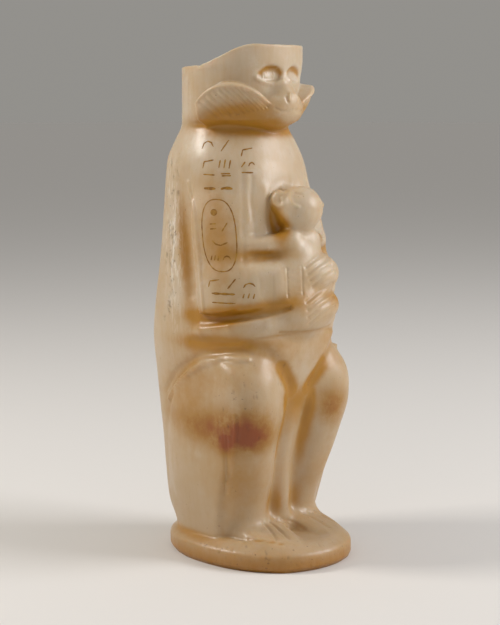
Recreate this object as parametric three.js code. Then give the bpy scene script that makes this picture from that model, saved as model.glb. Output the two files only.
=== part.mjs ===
// A vase carved from one block of alabaster: a seated monkey with a wide fur collar holds her young to her
// chest, on a low oval base of the same stone. The top of her head is the open mouth, and a round bore runs
// down through her body. Millimetres, +Z up. The origin is the middle of the base's underside, and she
// faces -Y.
import * as THREE from "three";

// Driving dimensions.
const FIGURE_HEIGHT = 185; // from the underside to the rim's highest point
const BASE_EDGE = 6.3; // height of the base's upright edge
const BASE_LEDGE = 3; // how far the base's edge stands out past the feet and haunches
const RIM_WALL = 4.2; // stone left between the mouth and the outside of her head
const BORE_RADIUS = 13; // the drilled bore below the mouth
const BORE_FLOOR = 42; // height of the bore's floor above the underside
const MOUTH_DEPTH = 24; // from the rim's highest point down to where the mouth has narrowed to the bore

// How finely the stone's skin is divided.
const COLUMNS = 66; // round the figure
const UNDERSIDE_ROWS = 2;
const SKIN_ROWS = 64; // from the edge of the underside up to the rim
const SHAFT_ROWS = 3; // down the straight length of the bore
const FRONT_CROWDING = 0.45; // 0 spreads the columns evenly, towards 1 they crowd to the front
const SETTLING_ROUNDS = 4; // how often the skin's points are spread evenly over the stone

// The carving is drawn for a figure of this height, and every length in it follows FIGURE_HEIGHT.
const DRAWN_HEIGHT = 185;
const UNIT = FIGURE_HEIGHT / DRAWN_HEIGHT;

// Arithmetic of smooth solids. A form is a function of a point [x, y, z] that gives a length, negative in
// the stone.
const clamp = (t, low, high) => Math.min(Math.max(t, low), high);
const ease = (t, from, to) => {
  const s = clamp((t - from) / (to - from), 0, 1);
  return s * s * (3 - 2 * s);
};
const mix = (a, b, t) => a + (b - a) * t;

// Joins two forms with a fillet of about the given size.
function join(a, b, fillet) {
  const t = clamp(0.5 + (0.5 * (b - a)) / fillet, 0, 1);
  return mix(b, a, t) - fillet * t * (1 - t);
}
const common = (a, b, rounding) => -join(-a, -b, rounding);
const cut = (a, tool, rounding) => -join(-a, tool, rounding);

// The values beside a height in a profile of knots [height, ...values], along a smooth curve through the
// knots.
function along(profile, height) {
  const last = profile.length - 1;
  const z = clamp(height, profile[0][0], profile[last][0]);
  let i = 0;
  while (i < last - 1 && profile[i + 1][0] < z) i++;
  const [low, high] = [profile[i], profile[i + 1]];
  const span = high[0] - low[0];
  const t = (z - low[0]) / span;
  const slope = (j, v) => {
    const [before, after] = [profile[Math.max(j - 1, 0)], profile[Math.min(j + 1, last)]];
    return ((after[v] - before[v]) / (after[0] - before[0])) * span;
  };
  return low.slice(1).map((a, v) => {
    const b = high[v + 1];
    const [from, to] = [slope(i, v + 1), slope(i + 1, v + 1)];
    return a + t * (from + t * (3 * (b - a) - 2 * from - to + t * (2 * (a - b) + from + to)));
  });
}

// An upright column with a plan between an ellipse (power 2) and a rectangle (large power).
function oval([x, y], halfWidth, halfLength, middle, power) {
  const across = Math.abs(x / halfWidth) ** power;
  const fore = Math.abs((y - middle) / halfLength) ** power;
  return ((across + fore) ** (1 / power) - 1) * Math.min(halfWidth, halfLength);
}

function ellipsoid([px, py, pz], [cx, cy, cz], [a, b, c], tilt = 0) {
  const [sin, cos] = [Math.sin(THREE.MathUtils.degToRad(tilt)), Math.cos(THREE.MathUtils.degToRad(tilt))];
  const [x, y, z] = [px - cx, (py - cy) * cos + (pz - cz) * sin, (pz - cz) * cos - (py - cy) * sin];
  const near = Math.hypot(x / a, y / b, z / c);
  return (near * (near - 1)) / Math.max(Math.hypot(x / a ** 2, y / b ** 2, z / c ** 2), 1e-9);
}

// A chain of round tapering bars through knots [x, y, z, radius].
function limb(p, knots) {
  let nearest = Infinity;
  for (let i = 1; i < knots.length; i++) {
    const [a, b] = [knots[i - 1], knots[i]];
    const way = [0, 1, 2].map((k) => b[k] - a[k]);
    const off = [0, 1, 2].map((k) => p[k] - a[k]);
    const dot = way[0] * off[0] + way[1] * off[1] + way[2] * off[2];
    const t = clamp(dot / (way[0] ** 2 + way[1] ** 2 + way[2] ** 2), 0, 1);
    const gap = Math.hypot(off[0] - t * way[0], off[1] - t * way[1], off[2] - t * way[2]);
    nearest = Math.min(nearest, gap - mix(a[3], b[3], t));
  }
  return nearest;
}

// A level bar through knots [x, y, z, half height, half depth], its section between an ellipse and a
// rectangle.
function strap([px, py, pz], knots, power) {
  let nearest = Infinity;
  for (let i = 1; i < knots.length; i++) {
    const [a, b] = [knots[i - 1], knots[i]];
    const [wx, wy] = [b[0] - a[0], b[1] - a[1]];
    const t = clamp(((px - a[0]) * wx + (py - a[1]) * wy) / (wx * wx + wy * wy), 0, 1);
    const [x, y, z, tall, deep] = a.map((v, k) => mix(v, b[k], t));
    const out = Math.hypot(px - x, py - y) / deep;
    const up = Math.abs(pz - z) / tall;
    nearest = Math.min(nearest, ((out ** power + up ** power) ** (1 / power) - 1) * Math.min(tall, deep));
  }
  return nearest;
}

// Trunk: knots [height, half width, half length, middle, power of the plan].
const TRUNK = [
  [0, 20.6, 19, 12.4, 2.6],
  [9, 21.6, 19.4, 12.4, 2.6],
  [18, 23.2, 21.5, 13.7, 2.6],
  [30, 23.8, 23, 14, 2.6],
  [41, 24.2, 25.5, 13, 2.6],
  [52, 24.6, 28.5, 12, 2.6],
  [66, 25.4, 31.6, 10.4, 2.7],
  [80, 27, 32.7, 8.9, 2.9],
  [93, 26.6, 31, 9.2, 2.9],
  [110, 25.7, 27.6, 10.2, 2.8],
  [126, 25, 25.1, 11.3, 2.7],
  [139, 24.2, 24, 12.2, 2.5],
  [145, 23.5, 23, 12.8, 2.4],
  [151, 21.5, 21.2, 13, 2.2],
  [156, 19.4, 19.7, 13.2, 2],
  [161, 18.6, 19.2, 12.6, 2],
];
const trunk = (p) => oval(p, ...along(TRUNK, p[2]));

// Head: a round block about its own upright axis, cut across above the brow by the mouth.
const HEAD = { radius: 21.7, middle: 8.9, jaw: 158 };

// Degrees round the head from the nose, and the distance from the head's axis.
function roundHead([x, y]) {
  const fore = HEAD.middle - y;
  return { turn: THREE.MathUtils.radToDeg(Math.atan2(Math.abs(x), fore)), out: Math.hypot(x, fore) };
}

function skull(p) {
  const { turn, out } = roundHead(p);
  const face = 1 - ease(turn, 70, 105);
  const cheeks = 1.1 * ease(-p[2], -180, -171) + 1.6 * ease(-p[2], -171, -159);
  return common(out - (HEAD.radius - face * cheeks), HEAD.jaw - p[2], 3);
}

// Fur collar: on each side a folded wing with its proud edge along an arch, drawn in to the neck below.
const COLLAR = { crown: 171.4, crownTurn: 58, proud: 5.2, depth: 13 };

function collar(p) {
  const { turn, out } = roundHead(p);
  const swing = turn - COLLAR.crownTurn;
  const arch = COLLAR.crown - (swing < 0 ? 6.4 * (swing / 38) ** 2 : 6.5 * (swing / 28) ** 2);
  const below = arch - p[2];
  const stand = COLLAR.proud * ease(turn, 6, 38) * (1 - ease(turn, 84, 92));
  const fall = clamp((below - 1) / COLLAR.depth, 0, 1) ** (1.1 + 1.1 * ease(turn, 45, 65));
  const root = HEAD.radius - 1.2 - 2.6 * ease(below, 4, 14) - 1.3 * Math.max(HEAD.jaw + 0.5 - p[2], 0);
  const form = out - (root + stand * ease(below, -0.8, 0.8) * (1 - fall));
  return { form, fillet: 0.8 + 2.4 * ease(below, 7, 14) };
}

function muzzle(p) {
  const snout = ellipsoid(p, [0, -7.6, 162.4], [10.6, 9, 6.8], -6);
  const bridge = limb(p, [
    [0, -9, 175, 3],
    [0, -11.4, 166, 4.6],
  ]);
  return join(snout, bridge, 4);
}

const eyeSocket = (p) => ellipsoid(p, [7.2, -11.8, 174.4], [4.9, 2, 3]);

// Upper arm: a slab on her flank with a sharp back edge that slants forward to the elbow.
const ELBOW = { height: 90.2, back: 1.8 };

function upperArm(p) {
  const [x, y, z] = p;
  const face = trunk(p) - 2.6 + 4 * ease(z, 118, 146);
  const behind = 0.98 * (y - ELBOW.back - 0.185 * (z - ELBOW.height));
  const under = ELBOW.height - 0.2 * (y - ELBOW.back) - z;
  const slab = common(common(face, behind, 1.2), under, 1.2);
  return common(common(slab, 3 - x, 2), -13.5 - y, 4);
}

// The hollow down her flank between the arm and the back.
const flankHollow = (p) =>
  limb(p, [
    [28.4, 13, 140, 3],
    [28.9, 11.2, 122, 4.7],
    [29.6, 8.8, 104, 4.7],
    [31, 6.8, 88, 2.6],
  ]);

const forearm = (p) =>
  strap(p, [
    [18.8, -3.6, 99.6, 9.7, 9.8],
    [15.4, -11.4, 101, 8.8, 8.8],
    [10.2, -16.6, 102.2, 7.4, 7.6],
    [3.5, -19.8, 103.2, 6.2, 6.8],
  ], 2.8);

// The channel below her forearm, above the young one's leg.
const forearmChannel = (p) =>
  limb(p, [
    [29, 2, 87.6, 1.6],
    [25, -9, 89.6, 1.8],
    [18.4, -19.4, 91.6, 1.6],
    [11, -25.8, 93.4, 0.6],
  ]);

// Her hands, one above the other across the young one's back.
function hands(p) {
  const upper = ellipsoid(p, [4.5, -22.6, 104.2], [10.5, 7.4, 7.4]);
  const lower = ellipsoid(p, [3, -22.6, 92.8], [11.5, 8.6, 6.6]);
  return join(upper, lower, 3.5);
}

// Young one.
function youngTrunk(p) {
  const chest = ellipsoid(p, [0, -17, 108], [11.5, 10, 12]);
  const rump = ellipsoid(p, [0, -18.6, 92], [15, 12, 10.8]);
  return join(chest, rump, 5);
}

const youngHead = (p) => ellipsoid(p, [0, -19.6, 127.3], [8.5, 8.4, 8.2]);
const youngEar = (p) => ellipsoid(p, [7, -16.4, 130.4], [2, 2.8, 3.6]);

const youngArm = (p) =>
  limb(p, [
    [5, -20, 116.5, 3.6],
    [13, -16.2, 115, 2.6],
    [19.5, -11, 115, 2.4],
    [23, -7, 115.6, 1.6],
  ]);

const youngLeg = (p) =>
  strap(p, [
    [7, -20.6, 89.6, 6, 5.8],
    [14, -17, 88.6, 5.6, 5.6],
    [21.5, -8.5, 86.4, 4.6, 4.8],
    [25.6, 2, 84.6, 3, 3],
    [26, 7, 83.4, 1.6, 1.4],
  ], 2.2);

// Her legs. Shin and knee: knots [height, x, y, radius].
const SHIN = [
  [4, 12.9, -5, 7.4],
  [20, 13, -5.8, 7.6],
  [30, 14, -8.6, 8.2],
  [40, 15.8, -10.5, 9.2],
  [50, 17, -12.4, 10],
  [60, 18, -13.6, 10.2],
  [66, 18.4, -13.4, 10],
  [71, 18.6, -12.6, 8.6],
  [75, 18.6, -11.8, 5.6],
  [77.5, 18.6, -11.4, 1.5],
];

function shin([px, py, pz]) {
  const [x, y, radius] = along(SHIN, pz);
  return Math.hypot(px - x, py - y) - radius + Math.max(pz - SHIN.at(-1)[0], 0);
}

// Haunch: a domed shield on her flank from the hip to the knee, drawn in where it sits on the base.
const HAUNCH = { face: 28.2, middle: 1.5, reach: 24, shoulder: 36, rise: 41.5, backDrop: 6 };

function haunch(p) {
  const [x, y, z] = p;
  const drawn = 3.4 * (1 - ease(z, 2, 34));
  const face = oval(p, HAUNCH.face - drawn, 30 - drawn, 2, 2.8);
  const rise = HAUNCH.rise - HAUNCH.backDrop * ease(y, -8, 14);
  const arch = Math.hypot((y - HAUNCH.middle) / HAUNCH.reach, Math.max(z - HAUNCH.shoulder, 0) / rise);
  const front = -0.97 * (y + 5 + 0.24 * (z - 10)) - 12 * ease(z, 42, 74);
  const shield = common(common(face, (arch - 1) * HAUNCH.reach, 2.4), front, 4);
  return common(shield, 6 - x, 3);
}

// The groove between her shin and her haunch.
const calfGroove = (p) =>
  limb(p, [
    [29.6, -11, 55, 0.3],
    [28.2, -11, 46, 0.9],
    [26.8, -10, 36, 0.5],
    [25.8, -8.4, 28, 0.1],
  ]);

// A flat foot that slopes to the toes and a little outwards.
const FOOT = { x: 11.8, middle: -16, halfWidth: 9.8, halfLength: 15.2, instep: 15, slope: 0.27 };

function foot([x, y, z]) {
  const plan = oval([x - FOOT.x, y], FOOT.halfWidth, FOOT.halfLength, FOOT.middle, 2.1);
  const top = 0.96 * (z - FOOT.instep - FOOT.slope * (y + 10) + 0.12 * Math.abs(x - 8));
  return common(plan, top, 4);
}

// The narrow ridge of stone between her shins.
const shinRidge = (p) =>
  limb(p, [
    [0, -9.4, 8, 4],
    [0, -9.8, 36, 4],
    [0, -13.4, 52, 3],
  ]);

// Base: an upright edge, then a slope up to the feet. Its edge follows them at BASE_LEDGE.
const STANCE = { halfWidth: 26.2, halfLength: 32.6, power: 2.2, slope: 0.8, rise: 3.1, worn: 1.2 };

function base(p) {
  const ledge = BASE_LEDGE / UNIT;
  const edge = BASE_EDGE / UNIT;
  const worn = STANCE.worn * (1 - ease(p[2], 0, 2.5)) ** 2;
  const side = oval(p, STANCE.halfWidth + ledge, STANCE.halfLength + ledge, 0, STANCE.power) + worn;
  const slope = 0.78 * (STANCE.slope * side + (p[2] - edge));
  return common(common(side, slope, 0.9), p[2] - edge - STANCE.rise, 1);
}

// The whole carving. Most of it is the same on both sides, so those forms are looked up at the mirrored
// point.
function carving(p) {
  const pair = [p, [-p[0], p[1], p[2]]];
  const { form: wing, fillet } = collar(p);
  let stone = join(trunk(p), skull(p), 2.5);
  stone = join(stone, wing, fillet);
  stone = join(stone, muzzle(p), 2);
  for (const q of pair) stone = cut(stone, eyeSocket(q), 1);
  for (const q of pair) stone = cut(stone, flankHollow(q), 3);
  for (const q of pair) stone = join(stone, upperArm(q), 0.6);
  stone = join(stone, youngTrunk(p), 3);
  stone = join(stone, youngHead(p), 4.5);
  for (const q of pair) {
    stone = join(stone, youngEar(q), 1.8);
    stone = join(stone, youngArm(q), 2.4);
    stone = join(stone, forearm(q), 3);
    stone = join(stone, youngLeg(q), 1);
    stone = cut(stone, forearmChannel(q), 1.5);
    stone = join(stone, haunch(q), 1.4);
    stone = join(stone, shin(q), 5.5);
    stone = cut(stone, calfGroove(q), 1);
  }
  stone = join(stone, shinRidge(p), 4);
  stone = join(stone, hands(p), 1.5);
  for (const q of pair) stone = join(stone, foot(q), 4);
  return join(stone, base(p), 0.8);
}

// Each row of the skin lies where a fan of straight rays leaves the stone. A row's rays start on an upright
// axis and rise or dip together: knots [share of the rows, height on the axis, height at RAY_RUN out, y of
// the axis].
const RAY_RUN = 45;
const FAN = [
  [0, 0.05, 0.05, 6],
  [0.03, 1.5, 5, 6],
  [0.1, 6, 22, 8],
  [0.21, 38, 58, 10],
  [0.3, 66, 84, 7],
  [0.33, 76, 88, 5],
  [0.38, 88, 90, 0],
  [0.46, 99, 99, -2],
  [0.53, 106, 113, -3],
  [0.58, 111, 127, -3],
  [0.68, 119, 148, -1],
  [0.73, 136, 152, 4],
  [0.79, 154, 153, 9],
  [0.9, 161, 174, 9],
  [0.95, 168, 180, 9],
  [1, 184, 184, 9],
];

// The straight-line version of along, for the fan.
function between(profile, place) {
  let i = 0;
  while (i < profile.length - 2 && profile[i + 1][0] < place) i++;
  const [low, high] = [profile[i], profile[i + 1]];
  const t = (place - low[0]) / (high[0] - low[0]);
  return low.slice(1).map((a, v) => mix(a, high[v + 1], t));
}

// Where the ray at a turn from the front leaves the stone for the last time, in the carving's own units. It
// is followed in from outside by strides that shorten near the stone, and the last stride is halved until
// the place is exact.
const INWARD = { start: 54, caution: 0.6, shortest: 0.3, longest: 8, halvings: 12 };

function surfacePoint(turn, [zIn, zOut, middle]) {
  const [dx, dy] = [-Math.sin(turn), -Math.cos(turn)];
  const at = (r) => [dx * r, middle + dy * r, zIn + ((zOut - zIn) * r) / RAY_RUN];
  let [inside, outside] = [INWARD.start, INWARD.start];
  for (let depth = carving(at(inside)); depth > 0 && inside > 1; depth = carving(at(inside))) {
    outside = inside;
    inside -= clamp(INWARD.caution * depth, INWARD.shortest, INWARD.longest);
  }
  for (let i = 0; i < INWARD.halvings; i++) {
    const half = (inside + outside) / 2;
    if (carving(at(half)) < 0) inside = half;
    else outside = half;
  }
  return at(inside);
}

// A point near the skin, moved straight onto it.
const PROBE = 0.05;
const STEADY_PULL = 1.5;

function ontoStone(point) {
  const depth = carving(point);
  const slope = [0, 1, 2].map((k) => {
    const beside = [...point];
    beside[k] += PROBE;
    return (carving(beside) - depth) / PROBE;
  });
  const steepness = Math.max(slope[0] ** 2 + slope[1] ** 2 + slope[2] ** 2, 0.2);
  const pull = clamp(depth / steepness, -STEADY_PULL, STEADY_PULL);
  return point.map((v, k) => v - pull * slope[k]);
}

// Spreads the points of the rows between the first and the last fixed ones evenly over the stone. The rays
// leave gaps where one form hides the next, such as behind the collar's edge and under the young one's
// chin.
function settle(rows, firstFree, lastFree) {
  let now = rows;
  for (let round = 0; round < SETTLING_ROUNDS; round++) {
    now = now.map((row, r) => {
      if (r < firstFree || r > lastFree) return row;
      return row.map((point, i) => {
        const [left, right] = [row[(i + COLUMNS - 1) % COLUMNS], row[(i + 1) % COLUMNS]];
        const [below, above] = [now[r - 1][i], now[r + 1][i]];
        return ontoStone(point.map((v, k) => (v + (left[k] + right[k] + below[k] + above[k]) / 4) / 2));
      });
    });
  }
  return now;
}

// The rim is high over the brow and dips behind the ears.
const RIM_DIP = { side: 7.2, back: 0.8 };

function rimHeight(turn) {
  const degrees = Math.abs(THREE.MathUtils.radToDeg(turn));
  const dip = RIM_DIP.side * ease(degrees, 34, 93) + RIM_DIP.back * ease(degrees, 100, 150);
  return FIGURE_HEIGHT - UNIT * dip;
}

// The skin from the edge of the underside up to the rim. Above the collar its rows close up towards the
// rim.
const BROW = 176;

function skinRows(turns) {
  const cast = Array.from({ length: SKIN_ROWS }, (_, row) => {
    const fan = between(FAN, row / (SKIN_ROWS - 1));
    return turns.map((turn) => surfacePoint(turn, fan));
  });
  const firstFree = cast.findIndex((row) => row[0][2] > 1);
  const lastFree = cast.findLastIndex((row) => row[0][2] < BROW);
  const top = FAN.at(-1)[1];
  return settle(cast, firstFree, lastFree).map((row, r) =>
    row.map(([x, y, z], i) => {
      const height = z < BROW ? z * UNIT : mix(BROW * UNIT, rimHeight(turns[i]), (z - BROW) / (top - BROW));
      return [x * UNIT, y * UNIT, r === 0 ? 0 : height];
    }),
  );
}

// The hollow from the rim down: the mouth, a cone that narrows to the bore, the straight shaft and its
// rounded floor.
const BORE = { middle: 11 * UNIT, floorRounding: BORE_RADIUS / 3, floorFlat: 0.7 * BORE_RADIUS };
const MOUTH = {
  radius: HEAD.radius * UNIT - RIM_WALL,
  middle: HEAD.middle * UNIT,
  straight: 0.35,
  cone: 0.3,
};

function boreRows(turns) {
  const ring = (radius, middle, height) =>
    turns.map((turn) => [-Math.sin(turn) * radius, middle - Math.cos(turn) * radius, height(turn)]);
  const neck = FIGURE_HEIGHT - MOUTH_DEPTH;
  const coneRadius = mix(BORE_RADIUS, MOUTH.radius, MOUTH.cone);
  const coneMiddle = mix(BORE.middle, MOUTH.middle, MOUTH.cone);
  const shaftFoot = BORE_FLOOR + BORE.floorRounding;
  return [
    ring(MOUTH.radius, MOUTH.middle, rimHeight),
    ring(MOUTH.radius, MOUTH.middle, (turn) => mix(rimHeight(turn), neck, MOUTH.straight)),
    ring(coneRadius, coneMiddle, () => mix(neck, FIGURE_HEIGHT, MOUTH.cone)),
    ...Array.from({ length: SHAFT_ROWS }, (_, i) =>
      ring(BORE_RADIUS, BORE.middle, () => mix(neck, shaftFoot, i / (SHAFT_ROWS - 1))),
    ),
    ring(BORE.floorFlat, BORE.middle, () => BORE_FLOOR),
  ];
}

// Rings of points from the middle of the underside, up the skin, over the rim and down the bore to its
// floor.
function rings() {
  const turns = Array.from({ length: COLUMNS }, (_, i) => {
    const even = (i / COLUMNS) * 2 * Math.PI;
    return -Math.PI + even + FRONT_CROWDING * Math.sin(even);
  });
  const skin = skinRows(turns);
  const centre = [0, FAN[0][3] * UNIT, 0];
  const underside = Array.from({ length: UNDERSIDE_ROWS }, (_, i) =>
    skin[0].map((point) => point.map((v, k) => mix(centre[k], v, (i + 1) / (UNDERSIDE_ROWS + 1)))),
  );
  return { centre, rows: [...underside, ...skin, ...boreRows(turns)], floor: [0, BORE.middle, BORE_FLOOR] };
}

// The closed skin: a fan on the underside, bands between neighbouring rings, and a fan on the bore's floor.
// Each four points of a band become two triangles along their shorter diagonal.
function stoneGeometry() {
  const { centre, rows, floor } = rings();
  const points = [centre, ...rows.flat(), floor];
  const index = (row, column) => 1 + row * COLUMNS + (column % COLUMNS);
  const apart = (i, j) => Math.hypot(...points[i].map((v, k) => v - points[j][k]));
  const faces = [];
  for (let i = 0; i < COLUMNS; i++) {
    faces.push(0, index(0, i), index(0, i + 1));
    for (let row = 1; row < rows.length; row++) {
      const [a, b] = [index(row - 1, i), index(row - 1, i + 1)];
      const [c, d] = [index(row, i), index(row, i + 1)];
      if (apart(a, d) < apart(b, c)) faces.push(a, c, d, a, d, b);
      else faces.push(a, c, b, b, c, d);
    }
    faces.push(index(rows.length - 1, i), points.length - 1, index(rows.length - 1, i + 1));
  }
  const geometry = new THREE.BufferGeometry();
  geometry.setAttribute("position", new THREE.Float32BufferAttribute(points.flat(), 3));
  geometry.setIndex(faces);
  geometry.computeVertexNormals();
  return geometry;
}

const alabaster = new THREE.MeshStandardMaterial({ color: "#e2cdaa", roughness: 0.35, metalness: 0 });

const stone = new THREE.Mesh(stoneGeometry(), alabaster);
stone.name = "monkey_vase";

const vase = new THREE.Group();
vase.add(stone);
export default vase;
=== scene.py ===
"""Looks of a small alabaster vase carved as a seated monkey that holds her young.

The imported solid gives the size. The stone shown is the same carving on a finer skin, with the shallow work
that the solid leaves out: incised fur, fingers and toes, strokes on the arm, tool marks, chips and pits.
Lengths in the carving are millimetres. The scene itself is in metres.
"""

import logging
import math
import random
from dataclasses import dataclass
from enum import Enum
from typing import Callable, ClassVar, Sequence

import bpy
import numpy as np
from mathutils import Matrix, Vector
from mathutils.bvhtree import BVHTree

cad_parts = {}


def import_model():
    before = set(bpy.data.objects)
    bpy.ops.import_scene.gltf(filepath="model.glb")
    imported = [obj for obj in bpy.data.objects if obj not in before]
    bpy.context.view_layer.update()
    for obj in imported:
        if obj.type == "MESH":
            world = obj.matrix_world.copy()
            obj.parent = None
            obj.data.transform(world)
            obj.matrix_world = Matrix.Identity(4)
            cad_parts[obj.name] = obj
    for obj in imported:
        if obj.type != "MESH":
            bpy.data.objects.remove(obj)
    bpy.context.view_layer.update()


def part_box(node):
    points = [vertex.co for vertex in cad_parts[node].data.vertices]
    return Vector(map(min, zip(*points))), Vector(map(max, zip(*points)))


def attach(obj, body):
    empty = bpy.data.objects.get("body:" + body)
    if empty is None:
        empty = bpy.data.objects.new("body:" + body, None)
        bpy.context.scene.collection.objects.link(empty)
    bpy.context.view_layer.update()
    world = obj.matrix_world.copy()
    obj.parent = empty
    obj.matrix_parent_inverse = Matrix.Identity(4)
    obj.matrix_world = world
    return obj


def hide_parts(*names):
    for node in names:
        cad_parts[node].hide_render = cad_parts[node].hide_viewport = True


LOG = logging.getLogger("monkey_vase")

# The solid's node, and a millimetre in metres.
NODE = "monkey_vase"
MM = 0.001

Array = np.ndarray
Knots = Sequence[Sequence[float]]


# Sizes


@dataclass(frozen=True)
class SkinDetail:
    """How finely the stone's skin is divided, and how its columns crowd towards a turn in degrees."""

    columns: int = 324
    rows: int = 286
    underside_rows: int = 2
    crowding: float = 0.5
    crowded_turn: float = 32.0
    settling_rounds: int = 8


@dataclass(frozen=True)
class VesselSizes:
    """Sizes of the vessel, as in the solid, in millimetres."""

    height: float = 185.0
    base_edge: float = 6.3
    base_ledge: float = 3.0
    rim_wall: float = 4.2
    bore_radius: float = 13.0
    bore_middle: float = 11.0
    bore_floor: float = 42.0
    mouth_depth: float = 24.0
    head_radius: float = 21.7
    head_middle: float = 8.9
    rim_dip_side: float = 7.2
    rim_dip_back: float = 0.8
    brow: float = 176.0


VESSEL = VesselSizes()


# Arithmetic of smooth solids: a form gives a length at each point, negative in the stone.


def ease(value: Array | float, start: float, end: float) -> Array:
    """A smooth step from 0 at start to 1 at end."""
    t = np.clip((value - start) / (end - start), 0.0, 1.0)
    return t * t * (3.0 - 2.0 * t)


def join(a: Array, b: Array, fillet: Array | float) -> Array:
    """Joins two forms with a fillet of about the given size."""
    t = np.clip(0.5 + 0.5 * (b - a) / fillet, 0.0, 1.0)
    return b + (a - b) * t - fillet * t * (1.0 - t)


def common(a: Array, b: Array, rounding: float) -> Array:
    """What two forms share, with its edge rounded."""
    return -join(-a, -b, rounding)


def cut(a: Array, tool: Array, rounding: float) -> Array:
    """The first form with the second cut away."""
    return -join(-a, tool, rounding)


def along(profile: Knots, height: Array) -> list[Array]:
    """Values beside each height in a profile, on a smooth curve through its knots.

    Args:
        profile: knots (height, values...), from low to high.
        height: the heights asked for.

    Returns:
        One array for each value in a knot.
    """
    table = np.array(profile, np.float32)
    heights, values = table[:, 0], table[:, 1:]
    slopes = np.empty_like(values)
    slopes[1:-1] = (values[2:] - values[:-2]) / (heights[2:] - heights[:-2])[:, None]
    slopes[0] = (values[1] - values[0]) / (heights[1] - heights[0])
    slopes[-1] = (values[-1] - values[-2]) / (heights[-1] - heights[-2])
    z = np.clip(height, heights[0], heights[-1])
    low = np.clip(np.searchsorted(heights, z) - 1, 0, len(heights) - 2)
    span = heights[low + 1] - heights[low]
    t = (z - heights[low]) / span
    result = []
    for column in range(values.shape[1]):
        a, b = values[low, column], values[low + 1, column]
        start, end = slopes[low, column] * span, slopes[low + 1, column] * span
        bend = 3 * (b - a) - 2 * start - end + t * (2 * (a - b) + start + end)
        result.append(a + t * (start + t * bend))
    return result


def power(base: Array, exponent: Array | float) -> Array:
    """A power of a length that is never negative."""
    return np.exp(exponent * np.log(np.maximum(base, 1e-6)))


def oval(p: Array, half_width: Array, half_length: Array, middle: Array, squareness: Array) -> Array:
    """An upright column with a plan between an ellipse and a rectangle.

    Args:
        p: the points, as (3, n).
        half_width: half the plan's size in X.
        half_length: half the plan's size in Y.
        middle: y of the plan's middle.
        squareness: 2 for an ellipse, more for a squarer plan.

    Returns:
        The form's length at each point.
    """
    across = power(np.abs(p[0] / half_width), squareness)
    fore = power(np.abs((p[1] - middle) / half_length), squareness)
    return (power(across + fore, 1.0 / squareness) - 1.0) * np.minimum(half_width, half_length)


def ellipsoid(p: Array, centre: Sequence[float], radii: Sequence[float], tilt: float = 0.0) -> Array:
    """An ellipsoid, tipped about the X axis.

    Args:
        p: the points, as (3, n).
        centre: its middle.
        radii: its half sizes along its own axes.
        tilt: how far it is tipped, in degrees.

    Returns:
        The form's length at each point.
    """
    sin, cos = math.sin(math.radians(tilt)), math.cos(math.radians(tilt))
    dx, dy, dz = (p[k] - centre[k] for k in range(3))
    x, y, z = dx, dy * cos + dz * sin, dz * cos - dy * sin
    a, b, c = radii
    near = np.sqrt((x / a) ** 2 + (y / b) ** 2 + (z / c) ** 2)
    steep = np.sqrt((x / a**2) ** 2 + (y / b**2) ** 2 + (z / c**2) ** 2)
    return near * (near - 1.0) / np.maximum(steep, 1e-9)


def limb(p: Array, knots: Knots) -> Array:
    """A chain of round tapering bars.

    Args:
        p: the points, as (3, n).
        knots: places along it with their radii (x, y, z, radius).

    Returns:
        The form's length at each point.
    """
    nearest = np.full(p.shape[1], np.inf, np.float32)
    for a, b in zip(knots, knots[1:]):
        way = [b[k] - a[k] for k in range(3)]
        off = [p[k] - a[k] for k in range(3)]
        length = sum(w * w for w in way)
        t = np.clip(sum(w * o for w, o in zip(way, off)) / length, 0.0, 1.0)
        gap = np.sqrt(sum((o - t * w) ** 2 for w, o in zip(way, off)))
        nearest = np.minimum(nearest, gap - (a[3] + (b[3] - a[3]) * t))
    return nearest


def strap(p: Array, knots: Knots, squareness: float) -> Array:
    """A chain of level bars with a section between an ellipse and a rectangle.

    Args:
        p: the points, as (3, n).
        knots: places along it with their half sizes (x, y, z, half height, half depth).
        squareness: 2 for an elliptical section, more for a squarer one.

    Returns:
        The form's length at each point.
    """
    nearest = np.full(p.shape[1], np.inf, np.float32)
    for a, b in zip(knots, knots[1:]):
        wx, wy = b[0] - a[0], b[1] - a[1]
        t = np.clip(((p[0] - a[0]) * wx + (p[1] - a[1]) * wy) / (wx * wx + wy * wy), 0.0, 1.0)
        x, y, z, tall, deep = (a[k] + (b[k] - a[k]) * t for k in range(5))
        out = power(np.hypot(p[0] - x, p[1] - y) / deep, squareness)
        up = power(np.abs(p[2] - z) / tall, squareness)
        nearest = np.minimum(nearest, (power(out + up, 1.0 / squareness) - 1.0) * np.minimum(tall, deep))
    return nearest


# The carving


@dataclass(frozen=True)
class CarvingSizes:
    """Sizes of the carved forms, as in the solid, in millimetres and degrees."""

    jaw: float = 158.0
    collar_crown: float = 171.4
    collar_crown_turn: float = 58.0
    collar_proud: float = 5.2
    collar_depth: float = 13.0
    elbow_height: float = 90.2
    elbow_back: float = 1.8
    arm_proud: float = 2.6
    haunch_face: float = 28.2
    haunch_middle: float = 1.5
    haunch_reach: float = 24.0
    haunch_shoulder: float = 36.0
    haunch_rise: float = 41.5
    haunch_back_drop: float = 6.0
    shin_top: float = 77.5
    foot_x: float = 11.8
    foot_middle: float = -16.0
    foot_half_width: float = 9.8
    foot_half_length: float = 15.2
    foot_instep: float = 15.0
    foot_slope: float = 0.27
    stance_half_width: float = 26.2
    stance_half_length: float = 32.6
    stance_power: float = 2.2
    stance_slope: float = 0.8
    stance_rise: float = 3.1
    stance_worn: float = 1.2


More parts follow.
